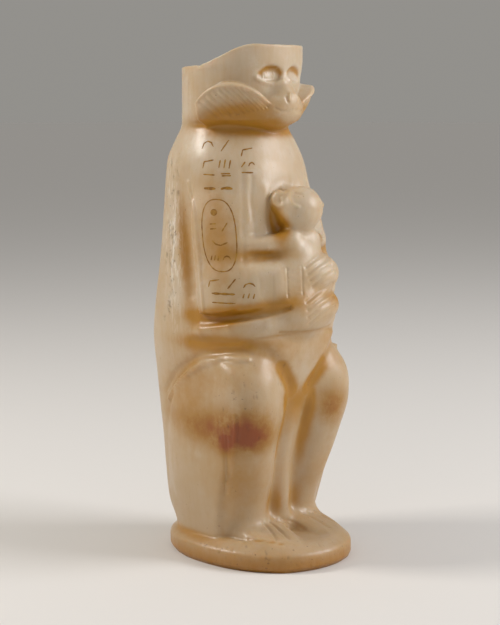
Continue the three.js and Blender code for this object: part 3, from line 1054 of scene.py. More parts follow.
FIGURE_LINES = (
    # Eye: the brow's recess, the lower lid and the worn ball
    Stroke(((0.2, 174.8), (1.6, 176.0), (3.8, 176.8), (6.0, 176.4), (7.2, 175.3)), 1.25, 0.5, 0.8, True),
    Stroke(((-1.4, 173.0), (1.0, 171.8), (3.5, 171.3), (6.0, 171.6), (8.0, 172.6)), 0.8, -0.5, 0.0, True),
    Stroke(((1.8, 173.8), (4.6, 174.0)), 1.3, -0.4, 0.0, True),
    Stroke(((0.9, 173.3), (1.0, 174.3)), 0.36, -0.3, 0.0, True),
    Stroke(((2.1, 173.1), (2.3, 175.0)), 0.34, -0.32, 0.0, True),
    Stroke(((3.3, 173.4), (3.3, 174.8)), 0.4, -0.3, 0.0, True),
    Stroke(((4.4, 173.0), (4.6, 175.1)), 0.34, -0.34, 0.0, True),
    Stroke(((5.6, 173.4), (5.7, 174.5)), 0.36, -0.3, 0.0, True),
    # Muzzle: nostril and mouth
    Stroke(((10.4, 167.6), (10.3, 165.6)), 0.55, -0.4, 0.0, True),
    Stroke(((9.2, 166.4), (9.7, 165.0)), 0.5, 0.35, 0.2, True),
    Stroke(((11.5, 162.4), (9.6, 161.5), (7.4, 161.6), (5.4, 162.6)), 0.5, 0.35, 0.2, True),
    # The young's ear, the rim of its face and the seam over its crown
    Stroke(
        ((8.1, 134.0), (6.0, 134.0), (4.7, 132.4), (4.7, 129.9), (6.3, 128.6), (8.2, 128.7)),
        0.8,
        -0.5,
        0.0,
        True,
    ),
    Stroke(((7.6, 132.7), (6.5, 131.8), (7.1, 130.3)), 0.7, 0.4, 0.3, True),
    Stroke(((11.4, 134.0), (10.6, 131.5), (11.5, 129.2), (13.4, 128.6)), 0.55, -0.6, 0.0, True),
    Stroke(((1.8, 133.5), (1.3, 129.0), (1.0, 125.0), (1.4, 119.0)), 3.0, -0.9, 0.0, True),
    Stroke(((12.2, 133.2), (14.6, 132.6)), 0.6, 0.3, 0.0, True),
    Stroke(((9.0, 135.1), (13.1, 135.5), (17.0, 134.6)), 0.5, 0.3, 0.1),
    # The upper arm's back edge, the channel behind it with amber and painted shade in it, and the two faint
    # folds before it
    Stroke(
        ((-25.6, 136.5), (-23.5, 126.9), (-21.8, 113.0), (-20.7, 100.9), (-19.9, 92.4)),
        0.6,
        -0.55,
        0.0,
        True,
    ),
    Stroke(((-29.4, 136.0), (-27.4, 124.0), (-25.4, 110.0), (-24.0, 97.0)), 2.2, 0.7, 0.3, True),
    Stroke(((-6.3, 141.1), (-5.9, 127.3), (-5.9, 113.6), (-5.4, 108.5)), 1.1, 0.28, 0.0, True),
    Stroke(((-2.8, 139.0), (-3.2, 130.7), (-1.7, 118.3)), 1.0, 0.22, 0.0, True),
    # The worn floor of the channel under the forearm
    Stroke(((-16.0, 90.6), (-3.5, 92.8), (9.0, 95.1)), 2.4, -0.4, 0.0, True),
    # The valley between the haunch and the belly: a cut groove, with amber and painted shade laid on by the
    # two flat strokes
    Stroke(((-3.0, 80.5), (3.2, 77.4), (8.2, 71.5), (11.0, 64.5)), 2.4, 0.9, 0.3, True),
    Stroke(((0.0, 79.0), (4.6, 75.8), (8.6, 70.5)), 4.2, 0.0, 0.5, True),
    Stroke(((7.8, 71.6), (10.4, 66.4), (11.6, 62.5)), 3.4, 0.0, 1.1, True),
    # The line under the group
    Stroke(
        ((-25.1, 80.3), (-19.5, 80.3), (-8.7, 81.1), (-3.5, 82.5), (10.6, 83.9), (25.0, 84.6)),
        0.9,
        0.45,
        0.5,
        True,
    ),
    # Haunch rim, calf streaks, and the line where the foot meets the base
    Stroke(
        ((-33.2, 57.0), (-28.9, 65.1), (-24.4, 69.4), (-19.6, 73.3), (-12.0, 75.6), (-4.0, 75.6)),
        0.8,
        -1.1,
        0.0,
        True,
    ),
    Stroke(
        ((-34.6, 60.0), (-30.6, 67.4), (-25.8, 71.9), (-20.6, 75.6), (-12.0, 78.0), (-3.0, 78.0)),
        1.2,
        0.6,
        0.45,
        True,
    ),
    Stroke(((-12.2, 51.0), (-11.8, 46.0), (-11.8, 40.0), (-11.9, 34.0), (-11.9, 27.0)), 0.8, -0.65),
    Stroke(((-8.9, 56.0), (-8.6, 51.0), (-9.2, 44.0), (-10.2, 34.0)), 0.5, -0.42),
    Stroke(((-7.6, 56.5), (-7.4, 52.0), (-7.9, 47.0)), 0.4, 0.25),
    Stroke(((-4.0, 10.5), (-1.7, 10.6), (3.6, 10.4), (8.6, 9.6)), 0.6, 0.45, 0.6),
)

# Soft amber, partly the stone's patina and partly painted shade: under the collar, the chin and the forearm,
# in the channels and hollows, and over the arm, back, haunch and legs on the side away from the key light.
# Collar, throat, chest, channel, knees, arm, haunch, head and base.
AMBER_AND_SHADE = (
    Patch((-8.0, 160.6), (16.0, 4.6), 0.9, 8.0, True),
    Patch((-9.0, 155.6), (16.0, 3.4), 0.5, 0.0, True),
    Patch((5.6, 155.4), (6.5, 3.4), 0.75, 0.0, True),
    Patch((7.2, 121.0), (3.4, 6.0), 1.1, 12.0, True),
    Patch((4.4, 126.0), (2.2, 5.0), 0.5, 0.0, True),
    Patch((2.0, 111.8), (12.0, 2.6), 0.6, 0.0, True),
    Patch((-4.5, 92.4), (18.0, 2.5), 1.0, 9.5, True),
    Patch((-16.0, 88.8), (8.0, 3.4), 0.75, 0.0, True),
    Patch((-13.0, 80.2), (15.0, 3.0), 1.0, 2.0, True),
    Patch((6.4, 20.0), (2.2, 5.0), 0.5, 0.0, True),
    Patch((13.2, 20.5), (2.0, 3.6), 0.35, 0.0, True),
    Patch((14.0, 94.0), (11.0, 14.0), 0.36, 0.0, True),
    Patch((7.0, 75.0), (11.0, 7.0), 0.36, 0.0, True),
    Patch((2.0, 33.0), (16.0, 15.0), 0.26, 0.0, True),
    Patch((0.0, 3.4), (46.0, 4.4), 0.5, 0.0, True),
    Patch((-27.0, 112.0), (2.8, 26.0), 0.7, 5.0, True),
    Patch((-15.0, 119.0), (8.0, 26.0), 0.66, 4.0, True),
    Patch((-26.0, 60.0), (11.0, 22.0), 0.56, 0.0, True),
    Patch((-8.0, 68.0), (12.0, 7.0), 0.3, 0.0, True),
    Patch((-8.0, 30.0), (9.0, 16.0), 0.32, 0.0, True),
    Patch((-13.0, 171.0), (12.0, 9.0), 0.2, 0.0, True),
    Patch((-25.0, 8.6), (12.0, 1.8), 0.6, -2.0, True),
)

# Iron stains at the knees and on the haunch, on the seen side only.
STAINS = (
    Patch((-5.0, 52.5), (13.5, 10.0), 0.95, -6.0),
    Patch((-23.0, 50.0), (13.0, 7.0), 0.8, -10.0),
    Patch((-3.6, 47.0), (8.0, 6.0), 0.75, 0.0),
    Patch((-13.0, 45.5), (4.0, 6.0), 0.55, 0.0),
    Patch((26.5, 55.0), (7.5, 9.0), 0.95, 10.0),
)

# Battered places: the ridge of the back, the haunch's top and the base.
PITTING = (
    Patch((-31.8, 114.0), (3.4, 30.0), 0.9, 2.0, True),
    Patch((-6.0, 62.0), (13.0, 11.0), 0.6, 0.0, True),
    Patch((0.0, 6.0), (40.0, 9.0), 0.7, 0.0, True),
)

# Whitish crushed crystals along the ridge of the back, painted brighter as glints.
BRUISES_AND_GLINTS = (Patch((-31.6, 116.0), (2.6, 26.0), 1.0, 2.0, True),)


@dataclass(frozen=True)
class Worker:
    """Works strokes into the points of a skin."""

    carving: Carving

    # How many half widths out a stroke is still worked, and the length of its short steps.
    RANGE: ClassVar[float] = 2.6
    STEP: ClassVar[float] = 1.2
    # How far off the rays start, how often they are followed, and how near the stone they have to end.
    AWAY: ClassVar[float] = 75.0
    ROUNDS: ClassVar[int] = 60
    NEAR: ClassVar[float] = 0.3

    def place(self, across: Array, height: Array) -> Array:
        """Where level rays from the seen side first meet the stone.

        Args:
            across: across of each ray.
            height: height of each ray.

        Returns:
            The places as (3, n), with nan where a ray misses.
        """
        out = np.full(across.size, self.AWAY, np.float32)

        def at(out: Array) -> Array:
            """Places that far out on the rays."""
            return np.stack([(across - out) * HALF, -(across + out) * HALF, height]).astype(np.float32)

        for _ in range(self.ROUNDS):
            out = out - np.clip(0.85 * self.carving.depth(at(out)), -0.4, 6.0)
        found = at(out)
        found[:, np.abs(self.carving.depth(found)) > self.NEAR] = np.nan
        return found

    def paths(self, strokes: Sequence[Stroke]) -> list[Array]:
        """Each stroke's trace on the stone in short steps.

        Args:
            strokes: the strokes.

        Returns:
            One (3, n) path for each stroke, without the places that miss.
        """
        places = []
        for stroke in strokes:
            knots = np.array(stroke.trace, float)
            along_it = lengths_along(knots)
            stations = np.linspace(0.0, along_it[-1], max(2, math.ceil(along_it[-1] / self.STEP) + 1))
            places.append([np.interp(stations, along_it, knots[:, k]) for k in (0, 1)])
        found = self.place(*np.concatenate(places, axis=1))
        ends = np.cumsum([len(across) for across, _ in places])[:-1]
        return [path[:, np.isfinite(path[0])] for path in np.split(found, ends, axis=1)]

    def work(self, points: Array, strokes: Sequence[Stroke]) -> tuple[Array, Array, Array]:
        """Works the strokes into points on the carving.

        Args:
            points: the points, as (3, n).
            strokes: the strokes. One that misses the stone is left out with a warning.

        Returns:
            How far each point goes out, and the amber and the dirt left in the lines; the amber of a stroke
            of no depth is painted shade.
        """
        sunk = np.zeros(points.shape[1])
        raised = np.zeros(points.shape[1])
        amber = np.zeros(points.shape[1])
        dirt = np.zeros(points.shape[1])
        for stroke, path in zip(strokes, self.paths(strokes)):
            if path.shape[1] < 2:
                LOG.warning("a stroke misses the stone: %s", stroke.trace[0])
                continue
            for side in (1.0, -1.0) if stroke.both_sides else (1.0,):
                knots = path * np.array([[side], [1.0], [1.0]])
                reach = self.RANGE * stroke.half_width
                low, high = knots.min(1) - reach, knots.max(1) + reach
                near = np.flatnonzero(((points > low[:, None]) & (points < high[:, None])).all(0))
                gap = limb(points[:, near], [(*k, 0.0) for k in knots.T])
                shape = np.exp(-((gap / stroke.half_width) ** 2))
                side_of = sunk if stroke.depth > 0 else raised
                side_of[near] = np.maximum(side_of[near], abs(stroke.depth) * shape)
                amber[near] = np.maximum(amber[near], stroke.amber * shape)
                dirt[near] = np.maximum(dirt[near], stroke.dirt * shape)
        return raised - sunk, amber, dirt

    def lip(self, points: Array) -> Array:
        """How far the collar's edge stands up as a thin lip.

        Args:
            points: the points, as (3, n).

        Returns:
            The lip's height at each point.
        """
        turn, _ = self.carving.round_head(points)
        below = self.carving.collar_edge(turn) - points[2]
        lip = 0.42 * np.exp(-(((below - 0.9) / 0.8) ** 2))
        return lip * ease(turn, 10, 34) * (1.0 - ease(turn, 84, 92))


# Materials

Socket = bpy.types.NodeSocket
Colour = tuple[float, float, float, float]


def linear(colour: str) -> Colour:
    """An sRGB hex colour as linear RGBA.

    Args:
        colour: a colour such as "#d8c09a".

    Returns:
        The linear colour with full alpha.
    """
    parts = [int(colour[i : i + 2], 16) / 255 for i in (1, 3, 5)]
    made = [c / 12.92 if c <= 0.04045 else ((c + 0.055) / 1.055) ** 2.4 for c in parts]
    return made[0], made[1], made[2], 1.0


class Graph:
    """The node tree of a material or of the air."""

    def __init__(self, owner: bpy.types.Material | bpy.types.World) -> None:
        """Empties the owner's node tree and takes it over."""
        self.tree = owner.node_tree
        self.tree.nodes.clear()

    def add(self, kind: str, inputs: dict, output: str | int | None = 0, **settings) -> Socket | None:
        """Adds a node with its settings and links.

        Args:
            kind: the node's type.
            inputs: socket name or number to a constant or a socket to link from.
            output: name or number of the output that is wanted, or None.
            settings: properties of the node.

        Returns:
            The output asked for.
        """
        made = self.tree.nodes.new(kind)
        for name, value in settings.items():
            setattr(made, name, value)
        for name, value in inputs.items():
            if isinstance(value, bpy.types.NodeSocket):
                self.tree.links.new(value, made.inputs[name])
            else:
                made.inputs[name].default_value = value
        return None if output is None else made.outputs[output]

    def coat(self, under: Socket | Colour, over: str, where: Socket, strength: float = 1.0) -> Socket:
        """Lays a colour over another.

        Args:
            under: the colour below.
            over: the hex colour laid over it.
            where: how much of it each place takes, from 0 to 1.
            strength: the most that shows of it.

        Returns:
            The new colour.
        """
        share = self.add("ShaderNodeMath", {0: where, 1: strength}, operation="MULTIPLY")
        return self.add("ShaderNodeMix", {"Factor": share, 6: under, 7: linear(over)}, 2, data_type="RGBA")


@dataclass(frozen=True)
class Pattern:
    """Noise with waves of a real size: how many of them a metre holds, and its finer layers.

    Only the part of it between low and high shows, and gives values from weakest to strongest.
    """

    waves: float
    layers: float
    roughness: float
    low: float = 0.0
    high: float = 1.0
    weakest: float = 0.0
    strongest: float = 1.0

    def inputs(self, place: Socket) -> dict:
        """What a noise node needs for the whole pattern."""
        return {"Vector": place, "Scale": self.waves, "Detail": self.layers, "Roughness": self.roughness}

    def shown(self, g: Graph, place: Socket) -> Socket:
        """The part of the pattern that shows.

        Args:
            g: the graph that the nodes go into.
            place: the place on the object.

        Returns:
            The pattern's values.
        """
        whole = g.add("ShaderNodeTexNoise", self.inputs(place))
        span = {"Value": whole, 1: self.low, 2: self.high, 3: self.weakest, 4: self.strongest}
        return g.add("ShaderNodeMapRange", span, interpolation_type="SMOOTHSTEP")


def new_material(name: str) -> tuple[bpy.types.Material, Graph]:
    """Makes an empty material.

    Args:
        name: the material's name.

    Returns:
        The material and the graph that fills it.
    """
    material = bpy.data.materials.new(name)
    material.use_nodes = True
    return material, Graph(material)


@dataclass(frozen=True)
class Alabaster:
    """Old cream alabaster, carved, rubbed smooth and worn.

    Light that soaks in and comes out warm gives its look, under a soft worn polish. Varnish-like amber has
    gathered where the carving is deep, and the same amber is laid on as painted shade in the hollows and on
    the side away from the key light. Iron has stained the knees, and the base's edge is streaked. The ridge
    of the back has whitish crushed crystals, painted brighter as glints.
    """

    pale: str = "#ccbaa0"
    milk: str = "#dfd5c8"
    # The next colour is the whitish crushed crystal on the back's ridge, laid on brighter than it is as
    # painted glints.
    white_bruise_and_glint: str = "#f3ede2"
    honey: str = "#a8875a"
    warm: str = "#bd9a66"
    # amber and deep colour the patina in the hollows and also the painted shade.
    amber: str = "#ad780c"
    deep: str = "#985f00"
    stain: str = "#a1700c"
    rust: str = "#8a3e00"
    streak: str = "#a06a0a"
    pit: str = "#55391c"
    bore: str = "#94744a"
    # How much light soaks in, how far in metres, and how red, green and blue share that way.
    soaked: float = 0.4
    soak_depth: float = 0.004
    soak_colours: tuple[float, float, float] = (1.0, 0.62, 0.36)
    refraction: float = 1.52
    polish: float = 0.12
    polish_roughness: float = 0.18
    bump: float = 0.3
    bump_depth: float = 0.00035
    # Height and depth of the honey colour at the foot, in metres, and of the streaks on the base's edge.
    honey_span: tuple[float, float] = (0.008, 0.115)
    honey_most: float = 0.56
    streaks_span: tuple[float, float] = (0.0005, 0.0075)
    # How far the grain and the streaks are drawn out in height.
    grain_drawn: float = 0.16
    streaks_drawn: float = 0.12
    # Clouds 26 mm apart, milky veins at 10 mm and grain 2 mm wide.
    clouds: Pattern = Pattern(38, 4, 0.55, 0.35, 0.68)
    veins: Pattern = Pattern(95, 6, 0.7, 0.52, 0.74)
    grain: Pattern = Pattern(520, 4, 0.6, 0.35, 0.75, 0.0, 0.22)
    # Unevenness of the amber at 4 mm, of the iron at 9 mm, and streaks 3 mm wide.
    mottle: Pattern = Pattern(260, 5, 0.6)
    iron: Pattern = Pattern(110, 6, 0.68, 0.2, 0.62, 0.55, 1.1)
    streaks: Pattern = Pattern(300, 4, 0.6, 0.3, 0.75, 0.7, 1.0)
    # Pits at 1 mm, at 1.6 mm where the stone is battered, and whitish crystals at 0.9 mm, painted brighter
    # as glints. Real ones are finer, and wouldn't show.
    few_pits: Pattern = Pattern(900, 2, 0.5, 0.735, 0.76)
    many_pits: Pattern = Pattern(620, 3, 0.6, 0.66, 0.7)
    bruise_and_glint_spots: Pattern = Pattern(1100, 3, 0.6, 0.5, 0.6)
    # The polish changes over 8 mm. Its surface has waves of 4 mm, fine ones of 0.7 mm and battered ones
    # of 1.3 mm.
    rubbed: Pattern = Pattern(120, 4, 0.6, 0.3, 0.7, 0.34, 0.5)
    waves: Pattern = Pattern(240, 4, 0.55)
    fine: Pattern = Pattern(1500, 3, 0.6)
    battered: Pattern = Pattern(760, 3, 0.7)

    def body(self, g: Graph, place: Socket, drawn: Socket) -> Socket:
        """Colour of clean stone: clouded, with upright grain and milky veins, and honey towards the foot.

        Args:
            g: the graph that the nodes go into.
            place: the place on the object.
            drawn: the place squeezed in height, for the grain.

        Returns:
            The new colour.
        """
        colour = g.coat(linear(self.pale), self.warm, self.clouds.shown(g, place), 0.5)
        colour = g.coat(colour, self.warm, self.grain.shown(g, drawn))
        colour = g.coat(colour, self.milk, self.veins.shown(g, place), 0.3)
        height = g.add("ShaderNodeSeparateXYZ", {"Vector": place}, "Z")
        span = {"Value": height, 1: self.honey_span[0], 2: self.honey_span[1], 3: self.honey_most, 4: 0.0}
        return g.coat(colour, self.honey, g.add("ShaderNodeMapRange", span, interpolation_type="SMOOTHSTEP"))

    def stained(self, g: Graph, place: Socket, colour: Socket) -> Socket:
        """Colour with amber in the hollows, partly patina and partly painted shade from the crevice value,
        and iron at the knees.

        Args:
            g: the graph that the nodes go into.
            place: the place on the object.
            colour: the clean stone's colour.

        Returns:
            The new colour.
        """
        # Painted shade: the crevice value darkens the hollows by adding to the amber.
        crevice = g.add("ShaderNodeAttribute", {}, "Fac", attribute_name="crevice")
        shaded = g.add("ShaderNodeMath", {0: crevice, 1: 0.36}, operation="MULTIPLY")
        amber = g.add("ShaderNodeAttribute", {}, "Fac", attribute_name="amber")
        held = g.add("ShaderNodeMath", {0: amber, 1: shaded}, operation="ADD")
        mottle = g.add("ShaderNodeTexNoise", self.mottle.inputs(place))
        centred = g.add("ShaderNodeMath", {0: mottle, 1: 0.5}, operation="SUBTRACT")
        uneven = g.add("ShaderNodeMath", {0: centred, 1: 0.35}, operation="MULTIPLY")
        varnish_and_shade = g.add("ShaderNodeMath", {0: held, 1: uneven}, operation="ADD")
        stain = g.add("ShaderNodeAttribute", {}, "Fac", attribute_name="stain")
        spread = self.iron.shown(g, place)
        iron = g.add("ShaderNodeMath", {0: stain, 1: spread}, operation="MULTIPLY")
        # The first two coats lay on the amber patina and the painted shade together.
        for source, low, high, over, strength in (
            (varnish_and_shade, 0.08, 0.9, self.amber, 0.95),
            (varnish_and_shade, 0.95, 1.6, self.deep, 0.8),
            (iron, 0.06, 1.0, self.stain, 0.88),
            (iron, 0.66, 1.45, self.rust, 0.95),
        ):
            span = {"Value": source, 1: low, 2: high}
            where = g.add("ShaderNodeMapRange", span, interpolation_type="SMOOTHSTEP")
            colour = g.coat(colour, over, where, strength)
        return colour

    def streaked(self, g: Graph, place: Socket, colour: Socket) -> Socket:
        """Colour with upright streaks round the foot of the block, up to about 5 mm.

        Args:
            g: the graph that the nodes go into.
            place: the place on the object.
            colour: the stained stone's colour.

        Returns:
            The new colour.
        """
        height = g.add("ShaderNodeSeparateXYZ", {"Vector": place}, "Z")
        span = {"Value": height, 1: self.streaks_span[0], 2: self.streaks_span[1], 3: 1.0, 4: 0.0}
        low = g.add("ShaderNodeMapRange", span, interpolation_type="SMOOTHSTEP")
        drawn = g.add("ShaderNodeMapping", {"Vector": place, "Scale": (1.0, 1.0, self.streaks_drawn)})
        uneven = self.streaks.shown(g, drawn)
        where = g.add("ShaderNodeMath", {0: low, 1: uneven}, operation="MULTIPLY")
        return g.coat(colour, self.streak, where)

    def specks(self, g: Graph, place: Socket) -> Socket:
        """Where the small dark pits are: few on all the stone, many where it is battered.

        Args:
            g: the graph that the nodes go into.
            place: the place on the object.

        Returns:
            How deep in a pit each place is, from 0 to 1.
        """
        few = g.add("ShaderNodeMath", {0: self.few_pits.shown(g, place), 1: 0.5}, operation="MULTIPLY")
        pitting = g.add("ShaderNodeAttribute", {}, "Fac", attribute_name="pitting")
        many = g.add("ShaderNodeMath", {0: pitting, 1: self.many_pits.shown(g, place)}, operation="MULTIPLY")
        return g.add("ShaderNodeMath", {0: few, 1: many}, operation="ADD", use_clamp=True)

    def worn(self, g: Graph, drawn: Socket, speck: Socket, colour: Socket) -> Socket:
        """Colour with whitish crystals painted brighter as glints, dirt in the pits and scratches, and the
        bore's brown.

        Args:
            g: the graph that the nodes go into.
            drawn: the place squeezed in height.
            speck: where the pits are.
            colour: the streaked stone's colour.

        Returns:
            The new colour.
        """
        # Painted glints: the whitish crystals of the back's ridge are laid on brighter than the stone.
        bruise = g.add("ShaderNodeAttribute", {}, "Fac", attribute_name="bruise")
        bruise_glint_shown = g.add("ShaderNodeMath", {0: bruise, 1: self.bruise_and_glint_spots.shown(g, drawn)}, operation="MULTIPLY")
        colour = g.coat(colour, self.white_bruise_and_glint, bruise_glint_shown, 0.55)
        pits = g.add("ShaderNodeMath", {0: speck, 1: 0.75}, operation="MULTIPLY")
        dirt = g.add("ShaderNodeAttribute", {}, "Fac", attribute_name="dirt")
        dark = g.add("ShaderNodeMath", {0: pits, 1: dirt}, operation="MAXIMUM")
        colour = g.coat(colour, self.pit, dark)
        inside = g.add("ShaderNodeAttribute", {}, "Fac", attribute_name="inside")
        return g.coat(colour, self.bore, inside)

    def relief(self, g: Graph, place: Socket, drawn: Socket, speck: Socket) -> Socket:
        """Height of the worn surface for the bump: soft waves, pits, battered places and grain.

        Args:
            g: the graph that the nodes go into.
            place: the place on the object.
            drawn: the place squeezed in height, for the grain.
            speck: where the pits are.

        Returns:
            The height.
        """
        height = g.add("ShaderNodeTexNoise", self.waves.inputs(place))
        fine = g.add("ShaderNodeTexNoise", self.fine.inputs(place))
        rough = g.add("ShaderNodeTexNoise", self.battered.inputs(place))
        pitting = g.add("ShaderNodeAttribute", {}, "Fac", attribute_name="pitting")
        battered = g.add("ShaderNodeMath", {0: pitting, 1: rough}, operation="MULTIPLY")
        grain = g.add("ShaderNodeTexNoise", self.grain.inputs(drawn))
        for part, share in ((fine, 0.25), (speck, -0.9), (battered, 1.8), (grain, 0.5)):
            added = g.add("ShaderNodeMath", {0: part, 1: share}, operation="MULTIPLY")
            height = g.add("ShaderNodeMath", {0: height, 1: added}, operation="ADD")
        return height

    def material(self) -> bpy.types.Material:
        """The stone's material.

        Returns:
            The new material.
        """
        material, g = new_material("alabaster")
        place = g.add("ShaderNodeTexCoord", {}, "Object")
        drawn = g.add("ShaderNodeMapping", {"Vector": place, "Scale": (1.0, 1.0, self.grain_drawn)})
        speck = self.specks(g, place)
        colour = self.stained(g, place, self.body(g, place, drawn))
        colour = self.worn(g, drawn, speck, self.streaked(g, place, colour))
        height = self.relief(g, place, drawn, speck)
        bump = {"Strength": self.bump, "Distance": self.bump_depth, "Height": height}
        surface = {
            "Base Color": colour,
            "Roughness": self.rubbed.shown(g, place),
            "Normal": g.add("ShaderNodeBump", bump),
            "Subsurface Weight": self.soaked,
            "Subsurface Radius": self.soak_colours,
            "Subsurface Scale": self.soak_depth,
            "IOR": self.refraction,
            "Coat Weight": self.polish,
            "Coat Roughness": self.polish_roughness,
        }
        shader = g.add("ShaderNodeBsdfPrincipled", surface)
        g.add("ShaderNodeOutputMaterial", {"Surface": shader}, None)
        return material


@dataclass(frozen=True)
class Ochre:
    """Dry ochre rubbed into scratched lines: matt, and uneven where it has worn thin, every 2 mm or so."""

    thick: str = "#84560c"
    thin: str = "#ab7f2c"
    roughness: float = 0.75
    wear: Pattern = Pattern(420, 4, 0.6, 0.36, 0.64)

    def material(self) -> bpy.types.Material:
        """The ochre's material.

        Returns:
            The new material.
        """
        material, g = new_material("ochre")
        place = g.add("ShaderNodeTexCoord", {}, "Object")
        colour = g.coat(linear(self.thick), self.thin, self.wear.shown(g, place))
        shader = g.add("ShaderNodeBsdfPrincipled", {"Base Color": colour, "Roughness": self.roughness})
        g.add("ShaderNodeOutputMaterial", {"Surface": shader}, None)
        return material


@dataclass(frozen=True)
class FloorPaper:
    """Pale matt paper, even and without shine."""

    colour: str = "#e2dfda"
    roughness: float = 0.9

    def material(self) -> bpy.types.Material:
        """The paper's material.

        Returns:
            The new material.
        """
        material, g = new_material("floor paper")
        plain_paper = {"Base Color": linear(self.colour), "Roughness": self.roughness}
        shader = g.add("ShaderNodeBsdfPrincipled", plain_paper)
        g.add("ShaderNodeOutputMaterial", {"Surface": shader}, None)
        return material


# The stone


@dataclass(frozen=True)
class StoneVase:
    """The whole vase as one mesh: the carving, the shallow work in it, the traces that age has left, and
    painted shade and glints laid on with them.
    """

    detail: SkinDetail
    carving: Carving = Carving()
    finish: Alabaster = Alabaster()

    # How far out a hollow is felt for, in millimetres, and how much that counts, for the painted shade in
    # the hollows.
    FEELERS: ClassVar[Knots] = ((1.0, 0.35), (2.2, 0.8), (4.5, 0.85))
    MOST_AMBER: ClassVar[float] = 1.3

    @staticmethod
    def strokes() -> list[Stroke]:
        """All the shallow lines of the figure."""
        carved = [*fur_lines(), *finger_lines(), *toe_lines(), *bracelet_lines(), *chisel_marks()]
        return [*carved, *scars(), *FIGURE_LINES]

    def crevice(self, points: Array, normals: Array) -> Array:
        """How far each point lies in a hollow, from 0 in the open to about 1. The material lays it on as
        painted shade, in the amber.

        Args:
            points: the points, as (3, n).
            normals: their unit normals.

        Returns:
            How hollow each point lies.
        """
        total = np.zeros(points.shape[1])
        for reach, share in self.FEELERS:
            depth = self.carving.depth((points + normals * reach).astype(np.float32))
            total += share * np.clip(1.0 - depth / reach, 0.0, 1.0)
        return total / 2.0

    @staticmethod
    def between_knees(points: Array) -> Array:
        """Amber patina and painted shade in the recess between the knees: in its two grooves, and softer
        between them.

        Args:
            points: the points, as (3, n).

        Returns:
            The amber at each point.
        """
        aside = np.abs(points[0])
        grooves = np.exp(-(((aside - 6.5) / 2.4) ** 2)) * ease(points[2], 20, 52)
        front = 0.85 * np.exp(-((aside / 9.0) ** 2)) * ease(points[2], 38, 62)
        return np.maximum(grooves, front) * (1.0 - ease(points[2], 58, 70)) * (points[1] < 0)

    def marks(self, points: Array, normals: Array, out: Array, held: Array) -> dict[str, Array]:
        """What the material asks of each point on the carving.

        Args:
            points: the points before the shallow work, as (3, n).
            normals: their unit normals.
            out: how far the shallow work moves each of them.
            held: the amber left in the worked lines, with painted shade from the strokes of no depth.

        Returns:
            The values by attribute name.
        """
        patches = spots(AMBER_AND_SHADE, points, normals)
        amber = np.maximum(np.maximum(held, patches), self.between_knees(points))
        # The amber holds patina and painted shade; the crevice value is painted shade in the hollows; the
        # white crystals of the back's ridge are painted brighter as glints.
        return {
            "crevice": self.crevice(points, normals) * (1.0 - ease(out, 0.1, 0.5)),
            "amber": np.clip(amber, 0.0, self.MOST_AMBER),
            "stain": spots(STAINS, points, normals),
            "pitting": spots(PITTING, points, normals),
            "bruise": spots(BRUISES_AND_GLINTS, points, normals),
        }

    def mesh(self, skin: Skin, marks: dict[str, Array]) -> bpy.types.Object:
        """The skin as an object that carries its marks.

        Args:
            skin: the finished skin.
            marks: the values on the carving, by attribute name.

        Returns:
            The object, with smooth faces.
        """
        count = skin.points.shape[1]
        mesh = bpy.data.meshes.new("stone")
        mesh.from_pydata((skin.points * MM).T.tolist(), [], skin.faces.tolist())
        inside = np.zeros(count)
        inside[skin.outside.stop + self.detail.columns :] = 1.0
        attributes = {"inside": inside}
        for name, values in marks.items():
            attributes[name] = np.zeros(count)
            attributes[name][skin.outside] = values
        for name, values in attributes.items():
            mesh.attributes.new(name, "FLOAT", "POINT").data.foreach_set("value", values.astype(np.float32))
        return show("stone", mesh)

    def build(self) -> bpy.types.Object:
        """Carves, works and dresses the vase.

        Returns:
            The finished object.
        """
        maker = SkinMaker(self.carving, self.detail)
        skin = maker.make()
        outside = skin.points[:, skin.outside].astype(np.float32)
        slope, _ = maker.normals_and_depth(outside)
        normals = slope / np.maximum(np.sqrt((slope**2).sum(0)), 1e-6)
        worker = Worker(self.carving)
        out, held, dirt = worker.work(outside, self.strokes())
        out += worker.lip(outside)
        below_rim = 1.0 - ease(outside[2], VESSEL.brow + 1, VESSEL.brow + 4)
        above_floor = ease(outside[2], 0.2, 1.5)
        skin.points[:, skin.outside] += normals * out * below_rim * above_floor
        marks = self.marks(outside, normals, out, held)
        marks["dirt"] = dirt
        stone = self.mesh(skin, marks)
        stone.data.materials.append(self.finish.material())
        return stone


def show(name: str, mesh: bpy.types.Mesh) -> bpy.types.Object:
    """Smooths a mesh and puts it in the scene.

    Args:
        name: the object's name.
        mesh: its mesh.

    Returns:
        The object.
    """
    mesh.polygons.foreach_set("use_smooth", np.ones(len(mesh.polygons), bool))
    mesh.update()
    made = bpy.data.objects.new(name, mesh)
    bpy.context.scene.collection.objects.link(made)
    return made


# The ochre strokes


class Mark(Enum):
    """A plain stroke or group of strokes in a cell from -1 to 1. None of them is a letter or a sign."""

    DASH = (((-0.8, 0.1), (0.8, -0.1)),)
    SLANT = (((-0.5, -0.8), (0.6, 0.8)),)
    ARC = (((-0.8, -0.5), (-0.5, 0.3), (0.0, 0.6), (0.5, 0.4), (0.8, -0.2)),)
    BOWL = (((-0.8, 0.6), (-0.4, -0.3), (0.1, -0.5), (0.8, 0.3)),)
    BARS = (((-0.7, 0.5), (0.6, 0.6)), ((-0.6, -0.4), (0.7, -0.3)))
    TICKS = (((-0.7, 0.6), (-0.9, -0.6)), ((0.0, 0.7), (-0.2, -0.6)), ((0.7, 0.6), (0.5, -0.7)))
    BEND = (((-0.8, -0.7), (-0.6, 0.3), (0.7, 0.6)),)


